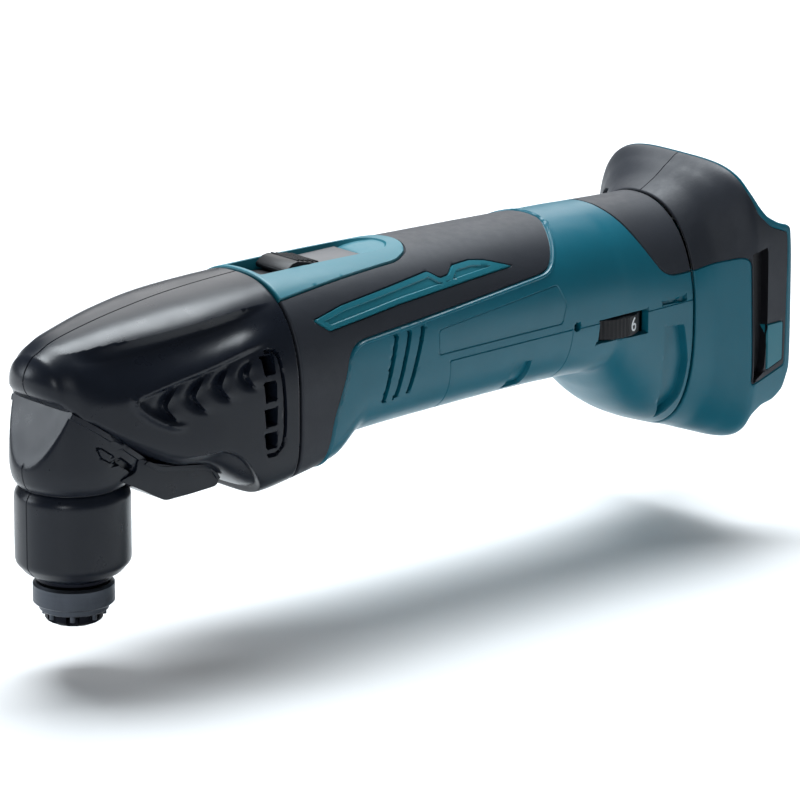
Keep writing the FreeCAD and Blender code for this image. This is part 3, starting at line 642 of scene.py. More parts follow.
def rubber(name, colour, roughness):
    """Soft overmould: matt, with a pebbled skin."""
    finish = Finish(name, colour, roughness, specular=0.35).mottle(70, 0.08).patchy_gloss(300, 0.05)
    finish.fill(finish.shader, {"Sheen Weight": 0.06, "Sheen Roughness": 0.5})
    return finish.grain([(1500, 0.022, None), (3800, 0.010, None)]).material


def metal(name, colour, roughness):
    return Finish(name, colour, roughness, metallic=1.0)


def turned_metal(name, colour, roughness):
    """Metal turned on a lathe about Z: fine rings."""
    finish = metal(name, colour, roughness).mottle(120, 0.06).patchy_gloss(350, 0.06, (0.15, 0.15, 3.0))
    return finish.grain([(900, 0.006, (0.05, 0.05, 4.0)), (1800, 0.003, None)]).material


def shaft_metal(name, colour, roughness):
    """Metal turned about X."""
    finish = metal(name, colour, roughness).mottle(120, 0.06).patchy_gloss(350, 0.06, (3.0, 0.15, 0.15))
    return finish.grain([(900, 0.005, (4.0, 0.05, 0.05))]).material


def cast_metal(name, colour, roughness):
    """Metal with a cast skin."""
    finish = metal(name, colour, roughness).mottle(90, 0.1).patchy_gloss(250, 0.08)
    return finish.grain([(900, 0.03, None), (220, 0.06, None)]).material


DARK = (0.006, 0.0085, 0.015)
SOFT = (0.017, 0.020, 0.028)
TEAL = (0.003, 0.118, 0.170)
TEAL_LIGHT = (0.008, 0.155, 0.205)

FINISHES = {                # maker, colour, roughness, and for some the grain and the specular level
    "dark_hood": (moulded, DARK, 0.30, 0.010, 0.3),
    "grip": (rubber, SOFT, 0.50),
    "teal": (moulded, TEAL, 0.34, 0.010, 0.4),
    "teal_trim": (moulded, TEAL_LIGHT, 0.40),
    "label": (moulded, TEAL, 0.34, 0.004),
    "black_plastic": (moulded, (0.006, 0.006, 0.008), 0.42, 0.010, 0.3),
    "grey_plastic": (moulded, (0.085, 0.085, 0.092), 0.45),
    "flange_steel": (turned_metal, (0.075, 0.083, 0.098), 0.45),
    "black_steel": (turned_metal, (0.010, 0.011, 0.015), 0.40),
    "steel": (turned_metal, (0.52, 0.53, 0.55), 0.28),
    "screw_steel": (cast_metal, (0.30, 0.30, 0.31), 0.32),
    "cast_aluminium": (cast_metal, (0.58, 0.59, 0.60), 0.48),
    "laminations": (shaft_metal, (0.30, 0.30, 0.31), 0.42),
    "magnet": (cast_metal, (0.10, 0.10, 0.11), 0.55),
    "copper": (shaft_metal, (0.82, 0.36, 0.20), 0.30),
    "brass": (cast_metal, (0.75, 0.55, 0.22), 0.32),
    "carbon": (rubber, (0.02, 0.02, 0.021), 0.60),
    "board": (moulded, (0.02, 0.12, 0.05), 0.40),
    "ink": (moulded, (0.78, 0.79, 0.80), 0.5),
}
MATERIALS = {name: make(name, *values) for name, (make, *values) in FINISHES.items()}
for entry in frame["record"]["subparts"]:
    shown = frame["nodes"][entry["node"]].data
    shown.materials.clear()
    shown.materials.append(MATERIALS[entry["material_slot"]])

# ---- Motor housing: outlines seen from the side (x, z), each with its corners' radius ----
GRIP = side_area([
    (60, 20), (78, 20), (80, 37), (82, 50.8), (87.2, 63.6), (89.5, 71.9), (93.4, 75.0), (121.4, 77.1),
    (176.8, 81.5), (180.4, 83.2), (187.9, 91.8), (192.6, 94.4), (192.6, 110), (60, 110),
], 3.0)
INLAY = side_area([
    (77.4, 84.0), (90.5, 86.4), (129.6, 89.6), (133.4, 87.1), (137.4, 87.4), (140.9, 89.5), (148.5, 89.7),
    (154.5, 88.8), (165.0, 85.5), (145.2, 84.6), (113.5, 82.8), (82.9, 79.9),
], 0.8)
PAD = side_area([
    (217.8, 93.2), (219.0, 91.0), (222.2, 83.6), (226.5, 76.5), (229.4, 72.6), (232.6, 70.8), (236.5, 70.3),
    (250, 70.3), (250, 110), (217.8, 110),
], 4.0)
LABEL = side_area([(127.7, 72.1), (127.5, 63.9), (182.1, 63.9), (184.0, 70.0), (180.9, 77.0)], 1.2)
BRUSH = side_area([(132.4, 61.0), (187.0, 61.0), (186.0, 42.0), (133.7, 42.0)], 0.6)
NOTCH = side_area([(161.6, 54.7), (169.7, 53.6), (169.7, 44.0), (161.6, 44.0)], 0.5)
TALL_RECESS = side_area([
    (229.0, 54.0), (238.2, 53.2), (241.0, 40.0), (241.0, 27.0), (237.6, 17.5), (232.4, 26.0), (229.6, 40.0),
], 1.0)
SMALL_SLOT = side_area([(227.9, 61.4), (239.2, 60.8), (239.4, 63.0), (227.9, 62.7)], 0.4)
DIAL_WINDOW = side_area(rectangle(199.0, 221.2, 53.2, 61.8), 0.3, LEFT)
PINHOLE = round_hole(188.9, 61.5, 1.5, LEFT)
VENT_SLOTS = [
    ((108.6, 74.0), (102.8, 52.5)),
    ((114.4, 74.4), (108.1, 53.0)),
    ((120.2, 74.8), (113.4, 53.5)),
]
SLOT_W = 1.9
PARTING_Z = 60.7
# Seen from above, left half: x, y
BEZEL = top_area([(60, -20.2), (69, -19.7), (121.8, -14.9), (128.5, -11.5), (132, -6), (133, 0)], 2.5)
POCKET = top_area([(70.0, -8.3), (118.0, -8.3), (124.0, -7.0), (127.4, -3.6), (128.0, 0)], 1.6)
POCKET_DEPTH = [(70.0, 0.6), (75.0, 3.6), (114.6, 3.6), (115.4, 2.2), (127.5, 0.5)]
DARK_FLOOR_END_X = 115.0

CELL = 1.0
HALF_TURNS = {LEFT: (math.pi / 2, 1.5 * math.pi), RIGHT: (-math.pi / 2, math.pi / 2)}


def turns(start, end, radius=31.0):
    """Angles from start to end, a cell apart on a circle of the tool's size."""
    count = int(math.ceil(abs(end - start) * radius / CELL))
    return np.radians(np.linspace(math.degrees(start), math.degrees(end), count + 1))


def vent_slot(top, low):
    outline = [low, (low[0] + SLOT_W, low[1]), (top[0] + SLOT_W, top[1]), top]
    return Recess(side_area(outline, 0.5), 2.5, 0.15, hole=True)


def parting_line(points):
    x, z = points[:, 0], points[:, 2]
    return np.where((x > 189.0) & (abs(z - PARTING_Z) < 5), z - PARTING_Z, FAR)


def motor_features(start, end):
    """Seams, raised and sunk areas, vents and recesses."""
    return [
        RoundedEdge(lambda p: start - p[:, 0], 0.7),
        RoundedEdge(lambda p: p[:, 0] - end, 0.6),
        Split(GRIP, 0.42, 0.55, fade=lambda p: (BEZEL(p) > 0) * 1.0),
        Band(GRIP, 0.5, 1.7, 0.4, 0.35, fade=lambda p: ramp(p[:, 0], 215, 205)),
        Split(BEZEL, 0.45, 0.6),
        Recess(BEZEL, -0.45, 0.5),
        Recess(POCKET, lambda p: along(p[:, 0], POCKET_DEPTH), 0.5),
        Split(INLAY, 0.4, 0.55),
        Recess(INLAY, -0.3, 0.4),
        Recess(lambda p: INLAY(p) + 1.5, 0.45, 0.35),
        Split(PAD, 0.42, 0.55),
        Split(LABEL, 0.28, 0.3),
        Recess(LABEL, 0.15, 0.2),
        Split(BRUSH, 0.28, 0.3),
        Recess(DIAL_WINDOW, 1.4, 0.15, hole=True),
        Recess(NOTCH, 2.2, 0.4),
        Recess(TALL_RECESS, 2.7, 0.8),
        Recess(SMALL_SLOT, 1.2, 0.2),
        Split(parting_line, 0.25, 0.3),
        Recess(PINHOLE, 2.4, 0.15, hole=True),
    ] + [vent_slot(*ends) for ends in VENT_SLOTS]


def motor_housing():
    """The teal housing with its overmoulds, inlays, label plates and brush covers."""
    start, end = JOINT_X + HALF_GAP, RING_X - 0.4
    patch = Patch(Sections(BODY), np.linspace(start, end, int((end - start) / CELL)),
                  turns(-math.pi / 2, 1.5 * math.pi))
    patch.imprint(motor_features(start, end))
    # The pocket's floor ahead of DARK_FLOOR_END_X is coloured black, darker than the teal round it.
    dark_floor = lambda p: np.maximum(POCKET(p) + 0.5, p[:, 0] - DARK_FLOOR_END_X)
    pieces = [                     # name, area, areas left out of it, wall, slot
        ("motor_housing", None, [GRIP, BEZEL, PAD, LABEL, BRUSH], 3.0, "teal"),
        ("switch_bezel", BEZEL, [dark_floor], 4.2, "teal_trim"),
        ("switch_pocket", dark_floor, [], 4.6, "black_plastic"),
        ("grip_cover", GRIP, [BEZEL, INLAY], 1.5, "grip"),
        ("rear_pad", PAD, [], 1.5, "grip"),
    ]
    for name, side in SIDES.items():
        this_side = lambda p, side=side: p[:, 1] * side
        pieces += [
            (f"inlay_{name}", INLAY, [BEZEL, this_side], 1.5, "teal_trim"),
            (f"label_plate_{name}", LABEL, [this_side], 0.8, "label"),
            (f"brush_cover_{name}", BRUSH, [this_side], 1.5, "teal"),
        ]
    for name, area, outside, wall, slot in pieces:
        obj = add_mesh(f"{name}_surface", *patch.part(area, outside).shell(wall), MATERIALS[slot])
        stands_for(obj, "housing", slot, name)


# ---- Hood ----
CREASE = [
    (-14.0, 84.4), (-10.4, 85.4), (5.2, 87.4), (21.0, 88.8), (36.0, 90.0), (52.0, 90.9), (JOINT_X, 91.2),
]
RIDGE = [(4.0, 69.6), (6.7, 71.0), (17.5, 74.3), (30.1, 77.1), (50.1, 80.8), (JOINT_X, 83.0)]
RIMS = [(17.5, 67.6, 6.4), (27.1, 69.4, 7.0), (36.4, 71.2, 6.2), (46.8, 72.6, 5.2)]   # apex x, apex z, reach
LIP_RIDGE = [(6.4, 71.2), (8.8, 67.9), (12.7, 64.7), (16.2, 62.5), (20.6, 60.7), (25.0, 60.0)]
BELLY = [(-6.0, 66.6), (5.8, 59.2), (13.9, 54.8), (19.2, 52.0), (26.6, 50.2), (33.3, 49.7)]
SCOOP = side_area([
    (16, 50.3), (30, 49.9), (37.8, 50.2), (43.8, 47.5), (47.3, 44.0), (51.0, 38.9), (53.9, 34.6),
    (56.5, 28), (16, 28),
], 2.0)
HOOD_VENTS = [(47.3, 52.8), (54.6, 60.6), (62.7, 69.4), (71.2, 77.5)]
VENT_FRAME = [
    (55.4, 78.6), (58.8, 78.2), (60.2, 75.7), (60.9, 67.0), (61.4, 58.0), (61.2, 52.0), (60.0, 46.8),
    (57.3, 45.2), (54.5, 45.4),
]
HOOD_SCREWS = [(50.0, 40.3, 21.8, 24.8), (36.0, 89.4, 9.3, 13.4)]   # x, z, y of the bore's two ends
NOSE_LENGTH = 6.0
BORE_R = 3.0
BORE_OUTER_R = 3.7


def channel(points):
    """Hollow between the roof's crease and the side's ridge, strongest at the nose."""
    x, z = points[:, 0], points[:, 2]
    top, low = along(x, CREASE), along(x, RIDGE)
    share = np.clip((top - z) / (top - low), 0, 1)
    fall = 1 - (1 - np.clip(share / 0.16, 0, 1)) ** 2
    return -2.6 * fall * (1 - ramp(share, 0.3, 1.0)) * ramp(x, -12, 3) * (1 - ramp(x, 46, 66))


def ridge_swell(points):
    """The side's ridge stands proud and is undercut below."""
    x, z = points[:, 0], points[:, 2]
    below = along(x, RIDGE) - z
    above = np.clip(1 + below / 5.0, 0, 1) ** 1.5
    under = 1 - 1.6 * ramp(below, 0, 1.8) + 0.6 * ramp(below, 1.8, 9.0)
    return 0.75 * np.where(below < 0, above, under) * ramp(x, 4, 14) * (1 - ramp(x, 44, 60))


def ahead_of(rim, points):
    """How far points lie in front of a rim, and how strong the rim is at their height."""
    apex_x, apex_z, reach = rim
    up = points[:, 2] - apex_z
    ahead = apex_x + np.hypot(1.3, 0.95 * up) - 1.3 - points[:, 0]
    return ahead, 1 - ramp(np.abs(up), 0.35 * reach, reach)


def rims(points):
    """Overlapping thumb scales: a hollow runs back into each rim, which steps up again."""
    total = np.zeros(len(points))
    for rim in RIMS:
        ahead, strength = ahead_of(rim, points)
        hollow = np.clip(ahead / 0.6, 0, 1) * (1 - ramp(ahead, 0, 6.0))
        rise = np.where(ahead <= 0, np.exp(np.minimum(ahead, 0) / 3.0), 1 - np.clip(ahead / 0.6, 0, 1))
        total += strength * (0.8 * rise * (ahead > -9) - 1.5 * hollow)
    return total


def rim_field(rim):
    """Field of a rim's crest, led smoothly away beyond its ends."""
    def field(points):
        away = np.abs(points[:, 2] - rim[1]) - rim[2]
        return ahead_of(rim, points)[0] + FAR * ramp(away, -0.5, 2.5)
    return field


def lip_ridge(points):
    """Rounded ridge that runs forward and up from the belly."""
    x = points[:, 0]
    distance = line_distance(LIP_RIDGE, x, points[:, 2])
    return 1.5 * np.exp(-(distance / 1.2) ** 2) * ramp(x, 4.5, 8.0) * ramp(x, 26, 18)


def belly_tuck(points):
    """Below this line the side turns in towards the neck."""
    below = along(points[:, 0], BELLY) - points[:, 2]
    return -1.3 * ramp(below, 0, 4.0) * ramp(points[:, 0], 44, 34)


def bores(screws):
    """Counterbores for screws that go in from the right."""
    return [Recess(round_hole(x, z, BORE_R, RIGHT), 1.0, 0.15, hole=True) for x, z, _, _ in screws]


def bore_walls(screws, material):
    """Tubes from just under the surface down past the screws' heads."""
    tubes = []
    count = 32
    for x, z, y_in, y_out in screws:
        points = []
        for y, r in [(y_out, BORE_R), (y_in, BORE_R), (y_in, BORE_OUTER_R), (y_out, BORE_OUTER_R)]:
            for i in range(count):
                angle = 2 * math.pi * i / count
                points.append((x + r * math.cos(angle), y, z + r * math.sin(angle)))
        tubes.append(add_mesh("bore", points, ring_faces([0, 1, 2, 3, 0], count), material))
    return tubes


def hood_half(name, side):
    """One half of the dark head casing, with its air outlets."""
    tip, end = HOOD_TIP[1], JOINT_X - HALF_GAP
    nose = tip + NOSE_LENGTH * np.linspace(0, 1, 16, endpoint=False) ** 2
    rest = np.linspace(tip + NOSE_LENGTH, end, int((end - tip - NOSE_LENGTH) / CELL))
    patch = Patch(Sections(HOOD, HOOD_TIP), np.concatenate([nose, rest]), turns(*HALF_TURNS[side]))
    crease = lambda p: np.where(p[:, 2] > 60, p[:, 2] - along(p[:, 0], CREASE), FAR)
    ridge = lambda p: np.where(p[:, 0] > 6, p[:, 2] - along(p[:, 0], RIDGE), FAR)
    belly = lambda p: np.where(p[:, 0] < 40, p[:, 2] - along(p[:, 0], BELLY), FAR)
    features = [
        RoundedEdge(lambda p: p[:, 0] - end, 0.8),
        Split(middle_line, 0.3, 0.35),
        Shape(channel, crease, (0.0, -0.7, -1.6)),
        Shape(ridge_swell, ridge, (0.0, -0.9, -1.8)),
        Shape(rims),
        Shape(lip_ridge),
        Shape(belly_tuck, belly, (0.0, -1.0)),
        Recess(SCOOP, lambda p: 2.2 * ramp(p[:, 0], 22, 36), 1.4),
        Recess(strip(filleted([(*p, 2.0) for p in VENT_FRAME]), 0.7), 1.7, 0.3),
    ]
    features += [Shape(unmoved, rim_field(rim), (0.0, 0.6)) for rim in RIMS]
    for low, high in HOOD_VENTS:
        window = [(53.4, low), (58.0, low), (58.2, high), (52.8, high)]
        features.append(Recess(side_area(window, 0.7), 2.4, 0.25, hole=True))
    patch.imprint(features + (bores(HOOD_SCREWS) if side == RIGHT else []))
    pieces = [add_mesh(f"hood_{name}_shell", *patch.shell(5.0), MATERIALS["dark_hood"], sharp=50)]
    if side == RIGHT:
        pieces += bore_walls(HOOD_SCREWS, MATERIALS["dark_hood"])
    stands_for(joined(pieces, f"hood_{name}_surface"), "housing", "dark_hood", f"hood_{name}")


# ---- Neck ----
NECK = [  # z, front reach, rear reach, half width, squareness behind, corner radius
    (11.0, 11.0, 11.0, 11.0, 2, 0),
    (11.0, 11.8, 11.8, 11.8, 2, 0.3),
    (13.0, 15.6, 15.6, 15.6, 2, 1.4),
    (16.2, 18.3, 18.3, 18.3, 2, 1.4),
    (38.2, 18.3, 18.3, 18.3, 2, 1.6),
    (40.6, 16.7, 16.7, 16.7, 2, 0.8),
    (40.8, 16.2, 16.2, 16.2, 2, 0.2),
    (41.2, 16.2, 16.2, 16.2, 2, 0.2),
    (41.4, 17.2, 17.2, 17.2, 2, 0.4),
    (43.6, 18.9, 18.9, 18.4, 2.2, 1.6),
    (48.0, 20.0, 22.0, 18.9, 3, 3.0),
    (56.0, 19.6, 24.0, 18.9, 4, 3.5),
    (64.0, 18.9, 24.0, 18.9, 4, 3.5),
    (72.0, 18.0, 24.0, 18.4, 4, 0),
]
LIP = [(-15.5, 70.6), (-6.0, 63.9), (0.9, 58.9), (15.9, 48.3), (20.6, 45.9), (37.2, 43.0)]
FACET_AT = np.array([-15.0, 0.0, 60.1])
FACET_NORMAL = np.array([-0.918, 0.0, 0.397])
FACET_EDGE = 0.8           # half the width of the facet's rounded edge
NECK_EYE = [(-5.0, 57.2), (-3.2, 53.4), (0.9, 50.9), (1.7, 53.0), (-3.1, 56.6)]
NECK_HOLE = [(3.6, 53.0), (9.8, 48.2), (8.9, 45.9), (2.9, 50.6)]
ARM = [
    (4.0, 44.6), (9.4, 41.8), (14.5, 38.9), (22.0, 34.6), (32.5, 34.7), (43.0, 35.2), (44.0, 37.6),
    (41.6, 41.4), (37.2, 43.2), (25.8, 45.3), (18.0, 47.6), (11.4, 50.6), (10.6, 46.2),
]
ARM_RIB = [
    (15.4, 48.9), (20.4, 46.1), (37.2, 43.4), (41.9, 41.3), (44.2, 37.6), (43.1, 37.2), (40.9, 40.4),
    (36.7, 41.8), (20.0, 44.5), (13.6, 48.2),
]
ARM_HALF_Y = 18.75
NECK_WALL = 2.2
NECK_SCREW = (31.0, 38.6, ARM_HALF_Y - 1.3, ARM_HALF_Y + 0.5)


def facet_depth(points):
    """How far points lie in front of the facet's plane; below the neck's ring they never do."""
    return (points - FACET_AT) @ FACET_NORMAL + np.where(points[:, 2] > 42, 0, -FAR)


def flat_facet(points):
    """Lays the front flat by moving points back to a plane, with a rounded edge round it."""
    depth, w = facet_depth(points), FACET_EDGE
    kept = np.where(depth > w, 0, np.where(depth < -w, depth, -((w - depth) ** 2) / (4 * w)))
    return points - (depth - kept)[:, None] * FACET_NORMAL


def neck_half(name, side):
    """One half of the spindle neck, with the arm that reaches back under the hood."""
    surface = Rings(NECK)
    start, stop = (math.pi, 2 * math.pi) if side == LEFT else (0, math.pi)
    patch = Patch(surface, surface.steps(CELL), turns(start, stop, 19))
    above_lip = lambda p: np.where(p[:, 2] > 42, p[:, 2] - along(p[:, 0], LIP), -FAR)
    below_lip = lambda p: -above_lip(p)
    patch.imprint([
        Split(middle_line, 0.3, 0.35),
        Shape(unmoved, facet_depth, (-FACET_EDGE, 0.0, FACET_EDGE)),
        Shape(unmoved, above_lip, (1.2,)),
        Band(below_lip, -1.2, 1.3, 0.6, 0.3),
        Recess(side_area(NECK_HOLE, 0.7, side), 2.0, 0.3),
        Split(side_area(NECK_EYE, 0.6, side), 0.3, 0.6),
    ])
    seen = patch.part(lambda p: above_lip(p) - 1.2)
    dark = MATERIALS["dark_hood"]
    pieces = [add_mesh(f"neck_{name}_column", *seen.shell(NECK_WALL, flat_facet, flat_inside), dark)]
    rim = filleted([(*p, 1.6) for p in ARM])
    wall = np.concatenate([rim, inwards(rim, NECK_WALL)[::-1]])
    for outline, inner_y, outer_y, edge in [
        (wall, 0.06, ARM_HALF_Y - 1.5, 0),
        (closed_fillet(ARM, 1.6), ARM_HALF_Y - 2.5, ARM_HALF_Y, 1.0),
        (closed_fillet(ARM_RIB, 0.6), ARM_HALF_Y - 0.5, ARM_HALF_Y + 0.35, 0.3),
    ]:
        y0, y1 = sorted((side * inner_y, side * outer_y))
        pieces.append(prism("arm", outline, "y", y0, y1, dark, edge, 4, 50))
    if side == RIGHT:
        pieces += bore_walls([NECK_SCREW], dark)
    stands_for(joined(pieces, f"neck_{name}_surface"), "housing", "dark_hood", f"neck_{name}")


def inwards(chain, distance):
    """An open chain moved sideways, to its left, by a distance."""
    steps = np.gradient(chain, axis=0)
    steps /= np.linalg.norm(steps, axis=1)[:, None]
    return chain + distance * np.column_stack([-steps[:, 1], steps[:, 0]])


def flat_inside(points):
    """The inside of the wall behind the facet, moved back by as much."""
    depth = facet_depth(points) + NECK_WALL
    return points - np.clip(depth, 0, None)[:, None] * FACET_NORMAL


# ---- Rear cover ----
REAR_PROFILE = side_area([
    (240, -20), (RIM_X, -20), (RIM_X, 18.0), (266.5, 21.2), (271.5, 22.2), (275.4, 25.6), (CHEEK_X, 33.0),
    (CHEEK_X, 82.0), (272.0, 84.0), (267.5, 86.8), (264.8, 90.6), (RIM_X, 96.0), (RIM_X, 120), (240, 120),
], 1.6)
REAR_SKIN = side_area([
    (230, 70.2), (244, 70.3), (257.0, 73.8), (258.8, 73.6), (259.6, 72.0), (260.4, 29.6), (274.8, 34.5),
    (275.8, 80.2), (268.6, 83.0), (263.6, 88.0), (261.6, 95.6), (261.6, 120), (230, 120),
], 1.2)
# The strip is a real recess; its floor is also coloured black as painted shade for the deep shade in it.
STRIP = side_area([(260.0, 75.2), (266.4, 76.6), (266.4, 50.4), (265.2, 33.4), (261.0, 30.8)], 0.6)
LATCH = side_area([(266.0, 50.0), (266.4, 34.0), (273.5, 36.5), (273.5, 50.0)], 0.8)
REAR_SCREWS = [(251.0, 84.5, 14.8, 19.6), (251.0, 21.0, 14.8, 19.2)]
FLARE_END_X = 262.0


def flat_cheeks(points):
    """The inside of the rear cover, with its cheeks laid flat."""
    x, y, z = points.T
    return np.column_stack([x, np.clip(y, -CHEEK_IN_Y, CHEEK_IN_Y), z])


def rear_half(name, side):
    """One half of the flared rear cover, with its skin, latch plate, and a strip recess coloured black as
    painted shade.
    """
    start, end = RING_X + 0.4, CHEEK_X
    flare = np.linspace(start, FLARE_END_X, int(26 / CELL), endpoint=False)
    xs = np.concatenate([flare, np.linspace(FLARE_END_X, end + 0.3, int(16 / CELL))])
    patch = Patch(Sections(REAR), xs, turns(*HALF_TURNS[side], 38))
    patch.imprint([
        RoundedEdge(lambda p: start - p[:, 0], 0.6),
        RoundedEdge(REAR_PROFILE, 0.9),
        Shape(unmoved, REAR_PROFILE, (0.0,)),
        Split(middle_line, 0.2, 0.22),
        Split(REAR_SKIN, 0.35, 0.45),
        Recess(STRIP, 2.8, 0.3),
        Split(LATCH, 0.3, 0.35),
        Recess(LATCH, -0.3, 0.3),
    ] + (bores(REAR_SCREWS) if side == RIGHT else []))
    keep = patch.part(REAR_PROFILE)
    for kind, piece, wall, inside, slot in [
        ("rear_cover", keep.part(outside=[REAR_SKIN, LATCH]), 5.0, flat_cheeks, "teal"),
        ("rear_skin", keep.part(REAR_SKIN, [LATCH, STRIP]), 1.5, as_is, "grip"),
        # The strip gets the black material as painted shade, not because it is a black part.
        ("rear_strip_painted_shade", keep.part(STRIP), 3.6, as_is, "black_plastic"),
        ("latch_plate", keep.part(LATCH), 1.0, as_is, "teal_trim"),
    ]:
        made = [add_mesh(f"{kind}_{name}_surface", *piece.shell(wall, inner_warp=inside), MATERIALS[slot])]
        if side == RIGHT and kind == "rear_cover":
            made += bore_walls(REAR_SCREWS, MATERIALS["teal"])
        stands_for(joined(made, f"{kind}_{name}_surface"), "housing", slot, f"{kind}_{name}")


def battery_end():
    """Plate and rails that a battery slides on to, inside the rim."""
    x = BACK_PLATE_X - 3.0
    for name, side in SIDES.items():
        angles = math.pi / 2 - side * np.linspace(0, math.pi, 60)
        section = Sections(REAR).at(np.column_stack([np.full(60, x), angles]))[:, 1:]
        middle = np.array([0, 56.0])
        reach = np.linalg.norm(section - middle, axis=1)[:, None]
        outline = middle + (section - middle) * (1 - 2.6 / reach)
        outline[:, 0] = side * np.maximum(outline[:, 0] * side, 0.12)
        plate = prism(f"battery_plate_{name}", outline, "x", x, BACK_PLATE_X, MATERIALS["teal"], 0)
        stands_for(plate, "housing", "teal")
    rails = []
    low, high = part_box("battery_rails")
    for side in SIDES.values():
        y0, y1 = sorted((side * (CHEEK_IN_Y - 3.0), side * (CHEEK_IN_Y + 0.4)))
        rails.append(prism("rail", rectangle(low.x / MM, high.x / MM, y0, y1), "z", low.z / MM, high.z / MM,
                           MATERIALS["black_plastic"], 0.5))
    stands_for(joined(rails, "battery_rails_surface"), "housing", "black_plastic", "battery_rails")


# ---- Switch ----
def switch():
    """Thumb wedge with ribs, on a sliding plate."""
    low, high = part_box("switch_knob")
    x0, x1, half_y, base_z = low.x / MM, high.x / MM, high.y / MM, 94.2
    top_z, back_z = 97.9, 95.8
    outline = [(x0, base_z), (x0, 95.6), (x0 + 2.8, top_z - 0.4), (x0 + 5.0, top_z), (x1, back_z),
               (x1, base_z)]
    wedge = prism("switch_wedge", outline, "y", -half_y, half_y, MATERIALS["black_plastic"], 0.45)
    ribs = []
    for i in range(5):
        x = x0 + 6.0 + 2.0 * i
        z = top_z - (top_z - back_z) * (x - x0 - 5.0) / (x1 - x0 - 5.0)
        rib = [(x - 0.55, z - 0.6), (x - 0.3, z + 0.55), (x + 0.3, z + 0.4), (x + 0.6, z - 0.6)]
        ribs.append(prism("rib", rib, "y", 1.0 - half_y, half_y - 1.0, MATERIALS["black_plastic"], 0.18, 2))
    stands_for(joined([wedge] + ribs, "switch_knob_surface"), "switch", "black_plastic", "switch_knob")
    low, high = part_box("switch_slide")
    outline = rectangle(low.x / MM, high.x / MM, low.y / MM + 0.8, high.y / MM - 0.8)
    plate = prism("switch_slide_surface", outline, "z", low.z / MM, high.z / MM,
                  MATERIALS["grey_plastic"], 0.35)
    stands_for(plate, "switch", "grey_plastic", "switch_slide")


# ---- Speed dial ----
DIAL_CENTRE = (210.2, -14.8)
DIAL_R = 14.2
DIAL_Z = (53.8, 61.2)
DIAL_TEETH = 60
TOOTH = 0.28
DIGIT_SIZE = 6.8
INK = 0.08
NUMBER_STEP = math.radians(45)
NUMBER_AT = math.radians(-74)
NUMBER_HALF = math.radians(11)   # half of the smooth stretch that a number is printed on


def on_dial(r, angle):
    """Point at a radius and an angle round the dial's axis."""
    return DIAL_CENTRE[0] + r * math.cos(angle), DIAL_CENTRE[1] + r * math.sin(angle)


def dial():
    """Thumbwheel with a knurled rim and the numbers 1 to 6 round it."""
    z0, z1 = DIAL_Z
    points = []
    rows = [(z0, 3.0), (z0, 0.7), (z0 + 0.5, 0.0), (z1 - 0.5, 0.0), (z1, 0.7), (z1, 3.0)]
    count = DIAL_TEETH * 6
    for z, inset in rows:
        for i in range(count):
            angle = 2 * math.pi * i / count
            tooth = TOOTH * (0.5 + 0.5 * math.cos(angle * DIAL_TEETH)) if inset < 1 else 0
            for number in range(6):
                away = (angle - NUMBER_AT - number * NUMBER_STEP + math.pi) % (2 * math.pi) - math.pi
                tooth *= 0.0 if abs(away) < NUMBER_HALF else 1.0
            r = DIAL_R - inset - tooth
            points.append((*on_dial(r, angle), z))
    faces = ring_faces(range(len(rows)), count)
    faces.append(list(range(count))[::-1])
    faces.append(list(range((len(rows) - 1) * count, len(rows) * count)))
    wheel = add_mesh("speed_dial_surface", points, faces, MATERIALS["black_plastic"])
    stands_for(wheel, "dial", "black_plastic", "speed_dial")
    digits = [digit(str(6 - i), NUMBER_AT + i * NUMBER_STEP, (z0 + z1) / 2) for i in range(6)]
    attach(joined(digits, "dial_numbers"), "dial")


def digit(text, angle, z):
    """One printed number, wrapped round the dial's rim."""
    curve = bpy.data.curves.new("digit", "FONT")
    curve.body, curve.size, curve.extrude = text, DIGIT_SIZE * MM, INK * MM
    curve.align_x, curve.align_y = "CENTER", "CENTER"
    curve.resolution_u = 6
    obj = added("digit", curve)
    graph = bpy.context.evaluated_depsgraph_get()
    mesh = bpy.data.meshes.new_from_object(obj.evaluated_get(graph))
    bpy.data.objects.remove(obj)
    for vertex in mesh.vertices:
        across, up, out = vertex.co / MM
        turn = angle + across / DIAL_R
        r = DIAL_R + out + 0.02
        vertex.co = Vector((*on_dial(r, turn), z + up)) * MM
    mesh.materials.clear()
    mesh.materials.append(MATERIALS["ink"])
    return added("digit", mesh)


motor_housing()
for side_name, side_sign in SIDES.items():
    hood_half(side_name, side_sign)
    neck_half(side_name, side_sign)
    rear_half(side_name, side_sign)
battery_end()
switch()
dial()


# ---- Stage, light and camera ----
BOLT_TRAVEL = 14.0


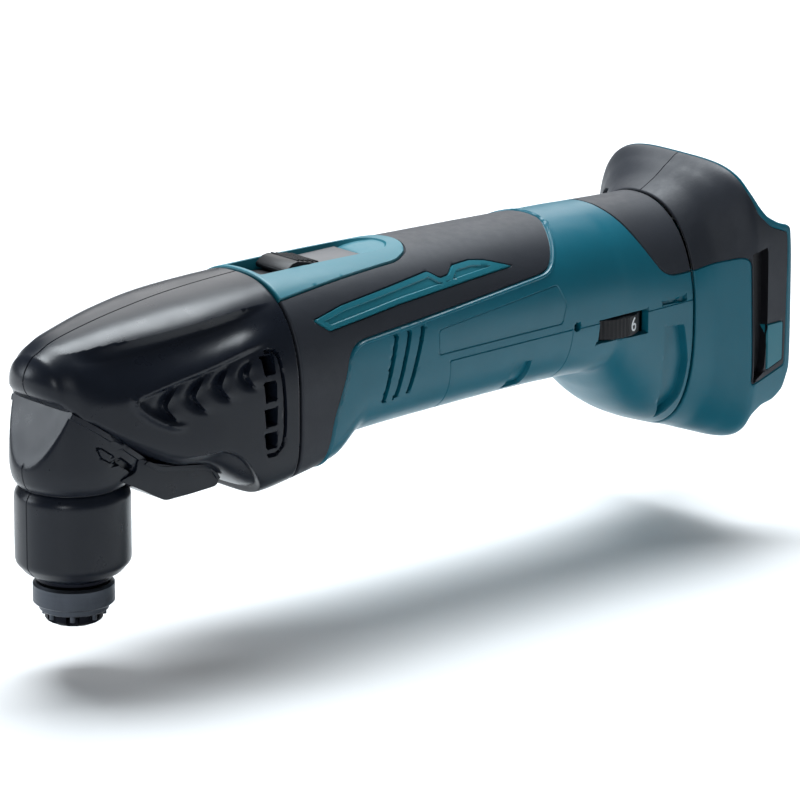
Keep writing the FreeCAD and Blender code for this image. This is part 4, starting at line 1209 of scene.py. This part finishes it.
def floor():
    """Plain ground, low enough that the clamp bolt stays above it at the end of its travel."""
    low_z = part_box("clamp_bolt")[0].z - (BOLT_TRAVEL + 1.0) * MM
    mesh = bpy.data.meshes.new("floor")
    reach = 8.0
    mesh.from_pydata([(*spot, low_z) for spot in rectangle(-reach, reach, -reach, reach)], [], [(0, 1, 2, 3)])
    obj = added("floor", mesh)
    mesh.materials.append(Finish("floor", (0.86, 0.86, 0.86), 0.6).patchy_gloss(3, 0.02).material)


def aimed(obj, location, direction):
    obj.location = location
    obj.rotation_mode = "QUATERNION"
    obj.rotation_quaternion = direction.to_track_quat("-Z", "Y")


def soft_light(name, location, target, size, power, colour=(1, 1, 1)):
    light = bpy.data.lights.new(name, "AREA")
    light.shape = "RECTANGLE"
    light.size, light.size_y = size
    light.energy = power
    light.color = colour
    aimed(added(name, light), Vector(location), Vector(target) - Vector(location))


def studio():
    """Soft light from above and from both front corners, in a dim, cool surround."""
    bpy.context.scene.view_settings.view_transform = "Standard"
    world = bpy.data.worlds.new("studio")
    bpy.context.scene.world = world
    world.use_nodes = True
    world.node_tree.nodes["Background"].inputs["Color"].default_value = (0.88, 0.94, 1.0, 1)
    world.node_tree.nodes["Background"].inputs["Strength"].default_value = 0.13
    middle = (0.12, 0, 0.06)
    soft_light("overhead", (0.45, 0.55, 1.5), middle, (1.4, 0.8), 50, (0.90, 0.96, 1.0))
    soft_light("front_right", (-0.92, 1.0, 0.44), (-0.015, 0, 0.06), (0.5, 0.5), 5.5, (0.86, 0.93, 1.0))
    soft_light("front_left", (-1.3, -0.9, 0.5), middle, (0.4, 0.4), 3.5, (0.9, 0.95, 1.0))
    soft_light("rear_fill", (1.2, 1.3, 0.9), middle, (1.0, 1.0), 6)


VIEW_AZIMUTH = math.radians(-41.6)
VIEW_ELEVATION = math.radians(16.5)
LOOK_AT = Vector((0.0723, -0.0722, 0.0693))
DISTANCE = 1.9


def camera():
    data = bpy.data.cameras.new("camera")
    data.lens, data.sensor_width = 276.75, 36.0
    data.clip_start, data.clip_end = 0.05, 60
    obj = added("camera", data)
    back = Vector((math.sin(VIEW_AZIMUTH) * math.cos(VIEW_ELEVATION),
                   -math.cos(VIEW_AZIMUTH) * math.cos(VIEW_ELEVATION), math.sin(VIEW_ELEVATION)))
    aimed(obj, LOOK_AT + back * DISTANCE, -back)
    bpy.context.scene.camera = obj


floor()
studio()
camera()
bpy.context.view_layer.update()
